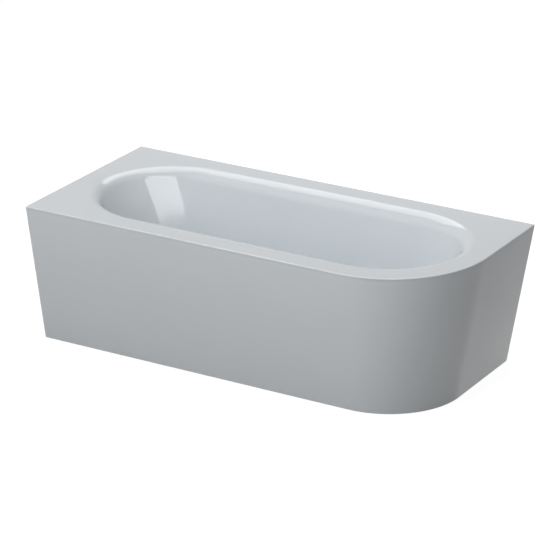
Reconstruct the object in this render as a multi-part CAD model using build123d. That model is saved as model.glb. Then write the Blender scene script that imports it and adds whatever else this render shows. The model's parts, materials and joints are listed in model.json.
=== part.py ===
from build123d import *
import math
import os

# Outside of the bath, in millimetres. The back long side and the left end stand against walls.
# The origin is the middle of the footprint on the floor, X runs to the right, Y to the back wall.
LENGTH = 1750.0
WIDTH = 800.0
HEIGHT = 575.0
CORNER_RADIUS = 400.0
SQUARE_CORNER_RADIUS = 5.0
APRON_LEAN = 100.0
FLOOR_GAP = 2.0

# Pressed steel shell
SHEET = 3.0
RIM_MARGIN = 80.0
RIM_EDGE_RADIUS = 4.0
LIP_RADIUS = 57.0
SIDE_WALL_ANGLE = 9.0
END_WALL_ANGLE = 27.0
BASIN_DEPTH = 420.0
BASIN_FLOOR_RADIUS = 100.0
WALL_EDGE_DROP = 35.0
APRON_EDGE_DROP = 8.0
WASTE_RECESS_RADIUS = 45.0
WASTE_RECESS_DEPTH = 2.5
OVERFLOW_DROP = 95.0

# Apron of folded sheet
APRON_SHEET = 2.0
APRON_FLANGE = 25.0
APRON_JOINT = 0.3
BOND_STRIP_WIDTH = 15.0
BOND_STRIP_SETBACK = 8.0
BOND_STRIP_END_GAP = 30.0

# Sound-deadening pads
DEADENING = 3.0
PAD_GAP = 6.0
WALL_PAD_BOTTOM_RISE = 110.0
WALL_PAD_TOP_DROP = 130.0
WALL_PAD_FROM_FITTING = 22.0
WALL_PAD_FROM_END = 10.0
APRON_PAD_LENGTH = 420.0
APRON_PAD_BOTTOM = 150.0
APRON_PAD_TOP = 430.0
APRON_PAD_CENTRES = (-600.0, -120.0)

# Cross rails, their pads, lugs and bolts
RAIL_FROM_BATH_END = 545.0
RAIL_FROM_BATH_SIDE = 155.0
RAIL_WIDTH = 40.0
RAIL_HEIGHT = 25.0
RAIL_SHEET = 2.5
RAIL_PAD_LENGTH = 60.0
LUG_Y = 80.0
LUG_WIDTH = 30.0
LUG_REACH = 22.0
LUG_SHEET = 3.0
SLOT_PLAY = 0.3
RAIL_BOLT_RADIUS = 4.0
RAIL_BOLT_FLATS = 13.0
RAIL_BOLT_HEAD = 5.3
RAIL_NUT_HEIGHT = 6.5
RAIL_BOLT_DROP = 13.0

# Levelling feet
FOOT_FROM_RAIL_END = 40.0
FOOT_STEM_RADIUS = 4.93
FOOT_THREAD_CLEARANCE = 0.07
FOOT_STEM_ABOVE_RAIL = 16.0
FOOT_NUT_HEIGHT = 8.0
FOOT_LOCK_NUT_HEIGHT = 6.4
FOOT_STEM_CHAMFER = 1.0
FOOT_HOLE_PLAY = 1.2
FOOT_NUT_FLATS = 17.0
SOLE_THICKNESS = 3.0
SOLE_RADIUS = 22.0
BASE_RADIUS = 25.0
BASE_PLATE = 6.0
BASE_HUB_RADIUS = 10.0
BASE_HUB_FOOT_RADIUS = 15.0
BASE_HUB_HEIGHT = 17.0
BASE_FLOOR_UNDER_STEM = 4.0

# Braces from the rails to the foot of the apron
BRACE_SHEET = 3.0
BRACE_WIDTH = 40.0
BRACE_FROM_APRON = 3.0
BRACE_BOLT_RADIUS = 3.0
BRACE_BOLT_FLATS = 10.0
BRACE_BOLT_HEAD = 4.0
BRACE_NUT_HEIGHT = 5.0
APRON_SCREW_RADIUS = 2.0
APRON_SCREW_HEAD_RADIUS = 4.5
APRON_SCREW_HEAD = 3.0

# Wall anchors
ANCHOR_WIDTH = 60.0
ANCHOR_SHEET = 3.0
ANCHOR_PLATE_HEIGHT = 70.0
ANCHOR_HOOK_REACH = 20.0
ANCHOR_HOOK_RISE = 27.0
ANCHOR_BELOW_EDGE = 7.0
ANCHOR_HOLE_RADIUS = 4.0
ANCHOR_HOLE_SPACING = 36.0
ANCHOR_SCREW_RADIUS = 3.0
ANCHOR_SCREW_LENGTH = 24.0
ANCHOR_SCREW_FLATS = 10.0
BACK_ANCHOR_X = (-500.0, 400.0)
LEFT_ANCHOR_Y = 60.0

# Earthing lug
EARTH_LUG_X = -55.0
EARTH_LUG_Y = 80.0
EARTH_LUG_WIDTH = 25.0
EARTH_LUG_HEIGHT = 26.0
EARTH_HOLE_RADIUS = 3.25

# Clearances shared by several pieces
TURNING_CLEARANCE = 0.06
SEAT_GAP = 0.3
HOLE_CLEARANCE = 0.3

# Waste fitting in the floor
FITTING_NECK_RADIUS = 25.5
FITTING_NECK_WALL = 3.5
FITTING_HOLE_PLAY = 0.5
FITTING_THREAD_CLEARANCE = 0.07
FITTING_HUB_RADIUS = 7.5
FITTING_HUB_HEIGHT = 6.0
FITTING_SPOKES = 3
FITTING_SPOKE_WIDTH = 5.0
WASTE_FLANGE_RADIUS = 36.0
WASTE_FLANGE_THICKNESS = 3.0
WASTE_SEAL_THICKNESS = 1.0
WASTE_NECK_LENGTH = 25.5
GASKET_THICKNESS = 4.0
GASKET_RADIUS = 38.0
BODY_FLANGE = 3.0
BODY_RADIUS = 30.0
BODY_FLOOR = 3.0
WASTE_BODY_DEPTH = 47.5
BRANCH_DROP = 23.5

# Waste plug and its lift lever
PLUG_RADIUS = 31.0
PLUG_DOME_HEIGHT = 4.0
PLUG_EDGE = 3.0
PLUG_SEAL_THICKNESS = 2.5
PLUG_SEAL_RADIUS = 30.0
PLUG_BOSS_RADIUS = 24.0
PLUG_STEM_RADIUS = 4.0
LEVER_ARM = 17.5
LEVER_SWING = 20.0
LEVER_TIP_RADIUS = 2.5
LEVER_ARM_THICKNESS = 2.0
LEVER_ARM_WIDTH = 8.0
LEVER_SHAFT_RADIUS = 3.0
LEVER_SHAFT_TAIL = 6.0
LEVER_BELOW_NECK = 10.0
LEVER_BOSS_RADIUS = 7.0
LEVER_BOSS_REACH = 3.0
WIRE_GROOVE = 1.5
CRANK_WIDTH = 8.0
COVER_WALL = 2.0
COVER_PLAY = 2.0

# Trap and outlet
DIP_TUBE_RADIUS = 20.0
TUBE_WALL = 2.0
TRAP_RADIUS = 38.0
TRAP_WALL = 3.0
TRAP_FLOOR_CLEARANCE = 5.0
TRAP_DIP_GAP = 10.0
TRAP_NECK_HEIGHT = 8.0
SOCKET_WALL = 3.0
NUT_WALL = 6.0
NUT_LIP = 3.0
NUT_LENGTH = 11.0
NUT_FLUTES = 24
NUT_FLUTE_RADIUS = 1.2
OUTLET_SOCKET_END = 64.0
OUTLET_PIPE_INSERT = 20.0
OUTLET_PIPE_END = 190.0
OUTLET_FREE_END = 50.0
OUTLET_COLLAR = 3.0

# Overflow fitting in the front long wall
FACEPLATE_RADIUS = 37.5
FACEPLATE_THICKNESS = 3.0
OVERFLOW_NECK_LENGTH = 14.0
OVERFLOW_CHAMBER_DEPTH = 42.0
KNOB_RADIUS = 33.0
KNOB_THICKNESS = 8.0
KNOB_STAND_OFF = 9.0
KNOB_HUB_RADIUS = 7.0
KNOB_SHAFT_RADIUS = 4.0
KNOB_GRIP_WIDTH = 12.0
KNOB_GRIP_HEIGHT = 7.0
KNOB_EDGE_RADIUS = 2.5
KNOB_TURN = 90.0
DRUM_RADIUS = 8.0
DRUM_WIDTH = 9.0

# Overflow pipe and Bowden cable
PIPE_RADIUS = 16.0
PIPE_WALL = 2.0
PIPE_INSERT = 20.0
PIPE_BEND_RADIUS = 70.0
SPIGOT_START = 20.0
SPIGOT_END = 70.0
SPIGOT_SETBACK = 24.0
CABLE_RADIUS = 2.5
CABLE_INSERT = 10.0
NIPPLE_WALL = 2.0
NIPPLE_LENGTH = 16.0
CABLE_LARGEST_BEND = 440.0
CABLE_BEND_SHARE = 0.45
CABLE_STEADY_DROP = 130.0

# Places that follow from the sizes above
SIDE = math.radians(SIDE_WALL_ANGLE)
END = math.radians(END_WALL_ANGLE)
LEAN_ANGLE = math.atan(APRON_LEAN / (HEIGHT - FLOOR_GAP))
RIM_OVERHANG = RIM_EDGE_RADIUS * (math.tan(LEAN_ANGLE) + 1 / math.cos(LEAN_ANGLE) - 1)
LIP_ON_SIDE = LIP_RADIUS * math.tan((math.pi / 2 - SIDE) / 2)
LIP_ON_END = LIP_RADIUS * math.tan((math.pi / 2 - END) / 2)
OPENING_HALF_WIDTH = WIDTH / 2 - RIM_MARGIN - LIP_ON_SIDE
OPENING_HALF_LENGTH = LENGTH / 2 - RIM_MARGIN - LIP_ON_END
OPENING_END_CENTRE = (LENGTH - WIDTH) / 2
FLOOR_HALF_WIDTH = OPENING_HALF_WIDTH - BASIN_DEPTH * math.tan(SIDE)
FLOOR_END_CENTRE = OPENING_HALF_LENGTH - BASIN_DEPTH * math.tan(END) - FLOOR_HALF_WIDTH
BASIN_FLOOR = HEIGHT - BASIN_DEPTH
FLOOR_UNDERSIDE = BASIN_FLOOR - SHEET
APRON_TOP = HEIGHT - APRON_EDGE_DROP - APRON_JOINT
RAIL_TOP = FLOOR_UNDERSIDE - DEADENING
RAIL_BOTTOM = RAIL_TOP - RAIL_HEIGHT
RAIL_BOLT_HEIGHT = RAIL_TOP - RAIL_BOLT_DROP
RAIL_CENTRE = LENGTH / 2 - RAIL_FROM_BATH_END
RAIL_END = WIDTH / 2 - RAIL_FROM_BATH_SIDE
FOOT_Y = RAIL_END - FOOT_FROM_RAIL_END
APRON_FOOT_LEAN = (HEIGHT - FLOOR_GAP) * math.tan(LEAN_ANGLE) - RIM_OVERHANG
APRON_FOOT_INSET = APRON_FOOT_LEAN + APRON_SHEET / math.cos(LEAN_ANGLE)
FLANGE_TOP = FLOOR_GAP + APRON_SHEET
SCREW_INSET = APRON_FOOT_LEAN + APRON_FLANGE / 2
WALL_EDGE_BOTTOM = HEIGHT - WALL_EDGE_DROP
RECESS_FLOOR = BASIN_FLOOR - WASTE_RECESS_DEPTH
RECESS_UNDERSIDE = RECESS_FLOOR - SHEET
FLANGE_SEAT = RECESS_FLOOR + WASTE_SEAL_THICKNESS
WASTE_FLANGE_TOP = FLANGE_SEAT + WASTE_FLANGE_THICKNESS
WASTE_NECK_BOTTOM = FLANGE_SEAT - WASTE_NECK_LENGTH
WASTE_BODY_TOP = RECESS_UNDERSIDE - GASKET_THICKNESS
WASTE_BODY_BOTTOM = WASTE_BODY_TOP - WASTE_BODY_DEPTH
BRANCH_HEIGHT = WASTE_BODY_TOP - BRANCH_DROP
FITTING_BORE = FITTING_NECK_RADIUS + FITTING_THREAD_CLEARANCE
FITTING_NECK_BORE = FITTING_NECK_RADIUS - FITTING_NECK_WALL
FITTING_HOLE_RADIUS = FITTING_NECK_RADIUS + FITTING_HOLE_PLAY
LEVER_HEIGHT = WASTE_NECK_BOTTOM - LEVER_BELOW_NECK
LEVER_Y = LEVER_ARM * (1 + math.cos(math.radians(LEVER_SWING))) / 2
LEVER_LOW = LEVER_ARM * math.sin(math.radians(LEVER_SWING))
TIP_TOP = LEVER_HEIGHT - LEVER_LOW + LEVER_TIP_RADIUS
WIRE_ON_DRUM = DRUM_RADIUS - WIRE_GROOVE
WIRE_ON_CRANK = WIRE_ON_DRUM * KNOB_TURN / (2 * LEVER_SWING)
CRANK_RADIUS = WIRE_ON_CRANK + WIRE_GROOVE
COVER_RADIUS = CRANK_RADIUS + COVER_PLAY + COVER_WALL
DRUM_COVER_RADIUS = DRUM_RADIUS + 2 * COVER_PLAY + COVER_WALL
LEVER_BOSS_END = BODY_RADIUS + LEVER_BOSS_REACH
CRANK_START = LEVER_BOSS_END + COVER_PLAY
COVER_END = CRANK_START + CRANK_WIDTH + COVER_PLAY + COVER_WALL
TRAP_TOP = WASTE_BODY_BOTTOM - BODY_FLOOR - NUT_LIP - TRAP_NECK_HEIGHT
OUTLET_HEIGHT = TRAP_TOP - TRAP_WALL - DIP_TUBE_RADIUS
TRAP_INSIDE_BOTTOM = TRAP_FLOOR_CLEARANCE + TRAP_WALL
SOCKET_BORE = DIP_TUBE_RADIUS + HOLE_CLEARANCE / 3
SOCKET_RADIUS = SOCKET_BORE + SOCKET_WALL
PIPE_SOCKET_BORE = PIPE_RADIUS + HOLE_CLEARANCE / 3
PIPE_SOCKET_RADIUS = PIPE_SOCKET_BORE + SOCKET_WALL
PIPE_DEPTH = SHEET + GASKET_THICKNESS + SPIGOT_SETBACK
CHAMBER_FRONT = SHEET + GASKET_THICKNESS
CHAMBER_BACK = CHAMBER_FRONT + BODY_FLANGE + OVERFLOW_CHAMBER_DEPTH
DRUM_FRONT = CHAMBER_BACK + BODY_FLOOR + COVER_PLAY
DRUM_BACK = DRUM_FRONT + DRUM_WIDTH
OVERFLOW_CENTRE = (0, -(OPENING_HALF_WIDTH - OVERFLOW_DROP * math.tan(SIDE)), HEIGHT - OVERFLOW_DROP)
OVERFLOW = Plane(OVERFLOW_CENTRE, x_dir=(-1, 0, 0), z_dir=(0, math.cos(SIDE), math.sin(SIDE)))
ON_BASE = (Align.CENTER, Align.CENTER, Align.MIN)


def rod(radius, low, high):
    """A round bar along Z."""
    return Pos(0, 0, low) * Cylinder(radius, high - low, align=ON_BASE)


def ring(outer, inner, low, high):
    """A tube or washer along Z."""
    return rod(outer, low, high) - rod(inner, low - 1, high + 1)


def block(x_span, y_span, z_span):
    """A box between two limits on each axis."""
    sizes = [span[1] - span[0] for span in (x_span, y_span, z_span)]
    middle = [(span[1] + span[0]) / 2 for span in (x_span, y_span, z_span)]
    return Pos(*middle) * Box(*sizes)


def hexagon(across_flats, low, high):
    """A six-sided nut or bolt head along Z."""
    return Pos(0, 0, low) * extrude(RegularPolygon(across_flats / 2, 6, major_radius=False), high - low)


def along_x(x, y, z):
    """Turns a piece made along Z so that it runs along +X from the given point."""
    return Plane((x, y, z), x_dir=(0, 1, 0), z_dir=(1, 0, 0))


def along_y(x, y, z):
    """Turns a piece made along Z so that it runs along +Y from the given point."""
    return Plane((x, y, z), x_dir=(-1, 0, 0), z_dir=(0, 1, 0))


def hex_bolt(radius, flats, head, shank):
    """A bolt along Z with its head's underside at 0 and its shank below."""
    return hexagon(flats, 0, head) + rod(radius, -shank, 0.1)


def hex_nut(radius, flats, height):
    """A nut along Z that stands on 0, clear of a bolt of the given radius."""
    return hexagon(flats, 0, height) - rod(radius, -1, height + 1)


def lean_at(z):
    """How far the leaning sides have come in, at a height, from the widest line of the rounded rim."""
    return (HEIGHT - z) * math.tan(LEAN_ANGLE) - RIM_OVERHANG


def rim_plan(inset, wall_reach, z):
    """The rim's outline, drawn in on the free sides and carried past the walls."""
    left = -LENGTH / 2 - wall_reach
    right = LENGTH / 2 - inset
    front = -WIDTH / 2 + inset
    back = WIDTH / 2 + wall_reach
    radius = CORNER_RADIUS - inset
    centre = (right - radius, front + radius)
    half = radius * math.sqrt(0.5)
    outline = Wire([
        Edge.make_line((left, front, z), (centre[0], front, z)),
        Edge.make_three_point_arc(
            (centre[0], front, z), (centre[0] + half, centre[1] - half, z), (right, centre[1], z)
        ),
        Edge.make_line((right, centre[1], z), (right, back, z)),
        Edge.make_line((right, back, z), (left, back, z)),
        Edge.make_line((left, back, z), (left, front, z)),
    ])
    return Face(outline)


def leaning_block(low, high, inset, wall_reach):
    """A solid whose free sides lean in like the apron and whose wall sides are upright."""
    level_inset = inset / math.cos(LEAN_ANGLE)
    top = rim_plan(level_inset + lean_at(high), 2 * LENGTH, high)
    solid = extrude(top, high - low, dir=(0, 0, -1), taper=math.degrees(LEAN_ANGLE))
    walls = block(
        (-LENGTH / 2 - wall_reach, LENGTH), (-WIDTH, WIDTH / 2 + wall_reach), (low - 1, high + 1)
    )
    return solid & walls


def round_wall_corners(solid, radius):
    """Rounds the upright corners that lie in the wall planes."""
    edges = [
        edge
        for edge in solid.edges()
        if edge.bounding_box().size.Z > solid.bounding_box().size.Z - 1
        and (edge.center().X < -LENGTH / 2 + 2 * SHEET or edge.center().Y > WIDTH / 2 - 2 * SHEET)
    ]
    return fillet(edges, radius)


def basin_section(z, growth):
    """The basin's level outline at a height: two straight sides and two half ellipses."""
    depth = HEIGHT - z
    half_width = OPENING_HALF_WIDTH - depth * math.tan(SIDE) + growth / math.cos(SIDE)
    half_length = OPENING_HALF_LENGTH - depth * math.tan(END) + growth / math.cos(END)
    centre = OPENING_END_CENTRE + (FLOOR_END_CENTRE - OPENING_END_CENTRE) * depth / BASIN_DEPTH
    reach = half_length - centre
    right = Edge.make_ellipse(
        reach, half_width, plane=Plane((centre, 0, z)), start_angle=-90, end_angle=90
    )
    left = Edge.make_ellipse(
        reach, half_width, plane=Plane((-centre, 0, z)), start_angle=90, end_angle=270
    )
    front = Edge.make_line((-centre, -half_width, z), (centre, -half_width, z))
    back = Edge.make_line((centre, half_width, z), (-centre, half_width, z))
    return Face(Wire([front, right, back, left]))


def basin(growth):
    """The space inside the basin, grown outwards through the sheet by a distance."""
    floor = BASIN_FLOOR - growth
    above_rim = HEIGHT + 2 * SHEET
    space = loft([basin_section(floor, growth), basin_section(above_rim, growth)], ruled=True)
    return fillet(space.edges().group_by(Axis.Z)[0], BASIN_FLOOR_RADIUS + growth)


def opening_edges(solid, height):
    """The edges where the basin breaks through the top of a block."""
    inner_length = LENGTH / 2 - RIM_MARGIN / 2
    inner_width = WIDTH / 2 - RIM_MARGIN / 2
    return [
        edge
        for edge in solid.edges()
        if edge.bounding_box().min.Z > height - 0.01
        and edge.bounding_box().max.Z < height + 0.01
        and edge.bounding_box().max.X < inner_length
        and edge.bounding_box().min.X > -inner_length
        and edge.bounding_box().max.Y < inner_width
        and edge.bounding_box().min.Y > -inner_width
    ]


def under_opening(growth, low, high):
    """An upright column under the opening, which stays inside the flat rim's margin."""
    length = LENGTH - 2 * RIM_MARGIN + 2 * growth
    width = WIDTH - 2 * RIM_MARGIN + 2 * growth
    return Pos(0, 0, low) * extrude(SlotOverall(length, width), high - low)


def free_side_trim():
    """What is cut from the turned-down edge where the apron continues it."""
    low = WALL_EDGE_BOTTOM - 5
    height = HEIGHT - APRON_EDGE_DROP - low
    free_side_inset = APRON_FLANGE + 2 * SHEET
    outer = extrude(rim_plan(-SHEET, SHEET, low), height, dir=(0, 0, 1))
    inner = extrude(rim_plan(free_side_inset, 2 * SHEET, low - 1), height + 2, dir=(0, 0, 1))
    return outer - inner


def bath_shell():
    """The pressed shell: rim, rolled lip, basin, waste recess and the two holes."""
    low = BASIN_FLOOR - 60
    upper = round_wall_corners(leaning_block(WALL_EDGE_BOTTOM, HEIGHT, 0, 0), SQUARE_CORNER_RADIUS)
    upper = fillet(upper.faces().sort_by(Axis.Z)[-1].edges(), RIM_EDGE_RADIUS)
    upper += under_opening(0, low, WALL_EDGE_BOTTOM + 1)
    upper -= basin(0)
    upper = fillet(opening_edges(upper, HEIGHT), LIP_RADIUS)
    upper -= rod(WASTE_RECESS_RADIUS, RECESS_FLOOR, BASIN_FLOOR + 1)
    lower = leaning_block(WALL_EDGE_BOTTOM - 1, HEIGHT - SHEET, SHEET, -SHEET)
    lower += under_opening(1, low - 1, WALL_EDGE_BOTTOM)
    lower -= basin(SHEET)
    lower = fillet(opening_edges(lower, HEIGHT - SHEET), LIP_RADIUS - SHEET)
    lower -= rod(WASTE_RECESS_RADIUS + SHEET, RECESS_UNDERSIDE, BASIN_FLOOR)
    shell = upper - lower - free_side_trim()
    shell -= rod(FITTING_HOLE_RADIUS, RECESS_UNDERSIDE - 5, BASIN_FLOOR + 5)
    shell -= OVERFLOW * rod(FITTING_HOLE_RADIUS, -3 * SHEET, 3 * SHEET)
    return shell


def apron():
    """The folded apron: leaning sheet with flanges all round and holes for the foot screws."""
    outside = leaning_block(FLOOR_GAP, APRON_TOP, 0, 0)
    outside = round_wall_corners(outside, SQUARE_CORNER_RADIUS)
    inside = leaning_block(FLANGE_TOP, APRON_TOP - APRON_SHEET, APRON_SHEET, -APRON_SHEET)
    inside = round_wall_corners(inside, SQUARE_CORNER_RADIUS - APRON_SHEET)
    window = leaning_block(FLOOR_GAP - 5, APRON_TOP + 5, APRON_FLANGE, 5)
    sheet = outside - inside - window
    for x, y in apron_screw_places():
        sheet -= Pos(x, y, 0) * rod(APRON_SCREW_RADIUS + HOLE_CLEARANCE, 0, FLANGE_TOP + 1)
    return sheet


def apron_bond_strip():
    """The elastic strip that carries the apron's top flange under the rim."""
    height = HEIGHT - SHEET - APRON_TOP
    outside = extrude(rim_plan(BOND_STRIP_SETBACK, -BOND_STRIP_END_GAP, APRON_TOP), height, dir=(0, 0, 1))
    inside = extrude(
        rim_plan(BOND_STRIP_SETBACK + BOND_STRIP_WIDTH, BOND_STRIP_END_GAP, APRON_TOP - 1),
        height + 2,
        dir=(0, 0, 1),
    )
    return outside - inside


def layer_on_shell(x_span, y_span, z_span):
    """A piece of sheet that hugs the outside of the basin within a box."""
    return (basin(SHEET + DEADENING) & block(x_span, y_span, z_span)) - basin(SHEET)


def floor_deadening():
    """Bitumen pads under the floor, each side of the waste and outside the rails."""
    waste_side = abs(EARTH_LUG_X) + EARTH_LUG_WIDTH / 2 + PAD_GAP
    rail_inner = RAIL_CENTRE - RAIL_WIDTH / 2 - 2 * RAIL_BOLT_RADIUS - 2 * PAD_GAP
    rail_outer = RAIL_CENTRE + RAIL_WIDTH / 2 + LUG_REACH + 2 * PAD_GAP
    outer_end = FLOOR_END_CENTRE + FLOOR_HALF_WIDTH / 2
    half_width = FLOOR_HALF_WIDTH / 2
    below = (FLOOR_UNDERSIDE - 2 * DEADENING, FLOOR_UNDERSIDE + 2 * DEADENING)
    pads = []
    for side in (-1, 1):
        for near, far in ((waste_side, rail_inner), (rail_outer, outer_end)):
            span = sorted((side * near, side * far))
            pads.append(layer_on_shell(span, (-half_width, half_width), below))
    return pads


def wall_deadening():
    """Bitumen pads on the outside of the long walls and of the two ends."""
    levels = (BASIN_FLOOR + WALL_PAD_BOTTOM_RISE, HEIGHT - WALL_PAD_TOP_DROP)
    near = GASKET_RADIUS + WALL_PAD_FROM_FITTING
    far = FLOOR_END_CENTRE - WALL_PAD_FROM_END
    pads = []
    for side in (-1, 1):
        end_span = sorted((side * (FLOOR_END_CENTRE + FLOOR_HALF_WIDTH), side * LENGTH / 2))
        end_half = FLOOR_HALF_WIDTH / 2
        pads.append(layer_on_shell(end_span, (-end_half, end_half), levels))
        x_span = sorted((side * near, side * far))
        pads.append(layer_on_shell(x_span, (-WIDTH / 2, 0), levels))
        pads.append(layer_on_shell(x_span, (0, WIDTH / 2), levels))
    return pads


def apron_deadening():
    """Bitumen pads bonded to the inside of the front panel."""
    behind = leaning_block(APRON_PAD_BOTTOM, APRON_PAD_TOP, APRON_SHEET, -SHEET)
    front = leaning_block(APRON_PAD_BOTTOM - 1, APRON_PAD_TOP + 1, APRON_SHEET + DEADENING, SHEET)
    layer = behind - front
    pads = []
    for centre in APRON_PAD_CENTRES:
        x_span = (centre - APRON_PAD_LENGTH / 2, centre + APRON_PAD_LENGTH / 2)
        pads.append(layer & block(x_span, (-WIDTH, 0), (0, HEIGHT)))
    return pads


def rail_places():
    """The two rails' X, left first."""
    return (-RAIL_CENTRE, RAIL_CENTRE)


def cross_rail(x):
    """A folded channel, open below, with closed ends and holes for the feet and bolts."""
    outer = block((-RAIL_WIDTH / 2, RAIL_WIDTH / 2), (-RAIL_END, RAIL_END), (RAIL_BOTTOM, RAIL_TOP))
    hollow = block(
        (-RAIL_WIDTH / 2 + RAIL_SHEET, RAIL_WIDTH / 2 - RAIL_SHEET),
        (-RAIL_END + RAIL_SHEET, RAIL_END - RAIL_SHEET),
        (RAIL_BOTTOM - 1, RAIL_TOP - RAIL_SHEET),
    )
    rail = outer - hollow
    for y in (-FOOT_Y, FOOT_Y):
        rail -= Pos(0, y, 0) * rod(FOOT_STEM_RADIUS + FOOT_HOLE_PLAY, RAIL_TOP - 5, RAIL_TOP + 1)
    for y in (-LUG_Y, LUG_Y):
        through = rod(RAIL_BOLT_RADIUS + HOLE_CLEARANCE, -RAIL_WIDTH, RAIL_WIDTH)
        rail -= along_x(0, y, RAIL_BOLT_HEIGHT) * through
    brace_hole = rod(BRACE_BOLT_RADIUS + HOLE_CLEARANCE, -2 * RAIL_SHEET, 2 * RAIL_SHEET)
    rail -= along_y(0, -RAIL_END, RAIL_BOLT_HEIGHT) * brace_hole
    if x > 0:
        rail -= along_x(RAIL_WIDTH / 2, 0, RAIL_BOLT_HEIGHT) * brace_hole
    return Pos(x, 0, 0) * rail


def rail_pads():
    """Rubber pads between the rails and the floor."""
    half_width = RAIL_WIDTH / 2
    half_length = RAIL_PAD_LENGTH / 2
    pad = block((-half_width, half_width), (-half_length, half_length), (RAIL_TOP, FLOOR_UNDERSIDE))
    return [Pos(x, y, 0) * pad for x in rail_places() for y in (-LUG_Y, LUG_Y)]


def outward(x):
    """The side of a rail that faces the end of the bath."""
    return math.copysign(1, x)


def lug_places():
    """Side that faces the end of the bath, rail X and Y of each lug."""
    return [(outward(x), x, y) for x in rail_places() for y in (-LUG_Y, LUG_Y)]


def rail_lugs():
    """Angles welded under the floor, one outside each rail at each pad."""
    lugs = []
    for side, x, y in lug_places():
        face = x + side * (RAIL_WIDTH / 2 + SLOT_PLAY)
        across = (y - LUG_WIDTH / 2, y + LUG_WIDTH / 2)
        thickness = sorted((face, face + side * LUG_SHEET))
        reach = sorted((face, face + side * LUG_REACH))
        upright = block(thickness, across, (RAIL_BOTTOM, FLOOR_UNDERSIDE))
        foot = block(reach, across, (FLOOR_UNDERSIDE - LUG_SHEET, FLOOR_UNDERSIDE))
        hole = rod(RAIL_BOLT_RADIUS + HOLE_CLEARANCE, -3 * LUG_SHEET, 3 * LUG_SHEET)
        lugs.append(upright + foot - along_x(face, y, RAIL_BOLT_HEIGHT) * hole)
    return lugs


def rail_bolts():
    """Bolts through lug and rail, heads outside."""
    outer_face = RAIL_WIDTH / 2 + SLOT_PLAY + LUG_SHEET
    shank = outer_face + RAIL_WIDTH / 2 + RAIL_NUT_HEIGHT + 2 * LUG_SHEET
    bolt = hex_bolt(RAIL_BOLT_RADIUS, RAIL_BOLT_FLATS, RAIL_BOLT_HEAD, shank)
    bolts = []
    for side, x, y in lug_places():
        seat = (x + side * outer_face, y, RAIL_BOLT_HEIGHT)
        bolts.append(Plane(seat, x_dir=(0, 1, 0), z_dir=(side, 0, 0)) * bolt)
    return bolts


def rail_nuts():
    """Nuts on the inner ends of the rail bolts."""
    nut = hex_nut(RAIL_BOLT_RADIUS + TURNING_CLEARANCE, RAIL_BOLT_FLATS, RAIL_NUT_HEIGHT)
    nuts = []
    for side, x, y in lug_places():
        face = (x - side * RAIL_WIDTH / 2, y, RAIL_BOLT_HEIGHT)
        nuts.append(Plane(face, x_dir=(0, 1, 0), z_dir=(-side, 0, 0)) * nut)
    return nuts


def foot_places():
    """Name and centre of each levelling foot."""
    ends = (("left", -RAIL_CENTRE), ("right", RAIL_CENTRE))
    sides = (("front", -FOOT_Y), ("back", FOOT_Y))
    return [(side + "_" + end, x, y) for end, x in ends for side, y in sides]


def foot_weld_nuts():
    """Nuts welded under the rails' webs, which the stems screw through."""
    top = RAIL_TOP - RAIL_SHEET
    nut = hex_nut(FOOT_STEM_RADIUS + FOOT_THREAD_CLEARANCE, FOOT_NUT_FLATS, FOOT_NUT_HEIGHT)
    return [Pos(x, y, top - FOOT_NUT_HEIGHT) * nut for name, x, y in foot_places()]


def foot_lock_nuts():
    """Lock nuts run up under the weld nuts."""
    top = RAIL_TOP - RAIL_SHEET - FOOT_NUT_HEIGHT
    nut = hex_nut(FOOT_STEM_RADIUS + FOOT_THREAD_CLEARANCE, FOOT_NUT_FLATS, FOOT_LOCK_NUT_HEIGHT)
    return [Pos(x, y, top - FOOT_LOCK_NUT_HEIGHT) * nut for name, x, y in foot_places()]


def foot_stem():
    """A threaded stem with a chamfered top end."""
    stem = rod(FOOT_STEM_RADIUS, SOLE_THICKNESS + BASE_FLOOR_UNDER_STEM, RAIL_TOP + FOOT_STEM_ABOVE_RAIL)
    return chamfer(stem.edges().sort_by(Axis.Z)[-1], FOOT_STEM_CHAMFER)


def foot_base():
    """A moulded base plate with a tapering hub that holds the stem."""
    plate = rod(BASE_RADIUS, SOLE_THICKNESS, SOLE_THICKNESS + BASE_PLATE)
    plate = fillet(plate.edges().group_by(Axis.Z)[-1], BASE_PLATE / 2)
    hub_low = SOLE_THICKNESS + BASE_PLATE - 1
    hub = Pos(0, 0, hub_low) * Cone(BASE_HUB_FOOT_RADIUS, BASE_HUB_RADIUS, BASE_HUB_HEIGHT, align=ON_BASE)
    socket = rod(FOOT_STEM_RADIUS, SOLE_THICKNESS + BASE_FLOOR_UNDER_STEM, hub_low + BASE_HUB_HEIGHT + 1)
    return plate + hub - socket


def foot_sole():
    """A rubber sole under the base."""
    return rod(SOLE_RADIUS, 0, SOLE_THICKNESS)


def apron_screw_places():
    """Where the braces are screwed to the apron's bottom flange."""
    front = [(x, -WIDTH / 2 + SCREW_INSET) for x in rail_places()]
    return front + [(LENGTH / 2 - SCREW_INSET, 0)]


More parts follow.
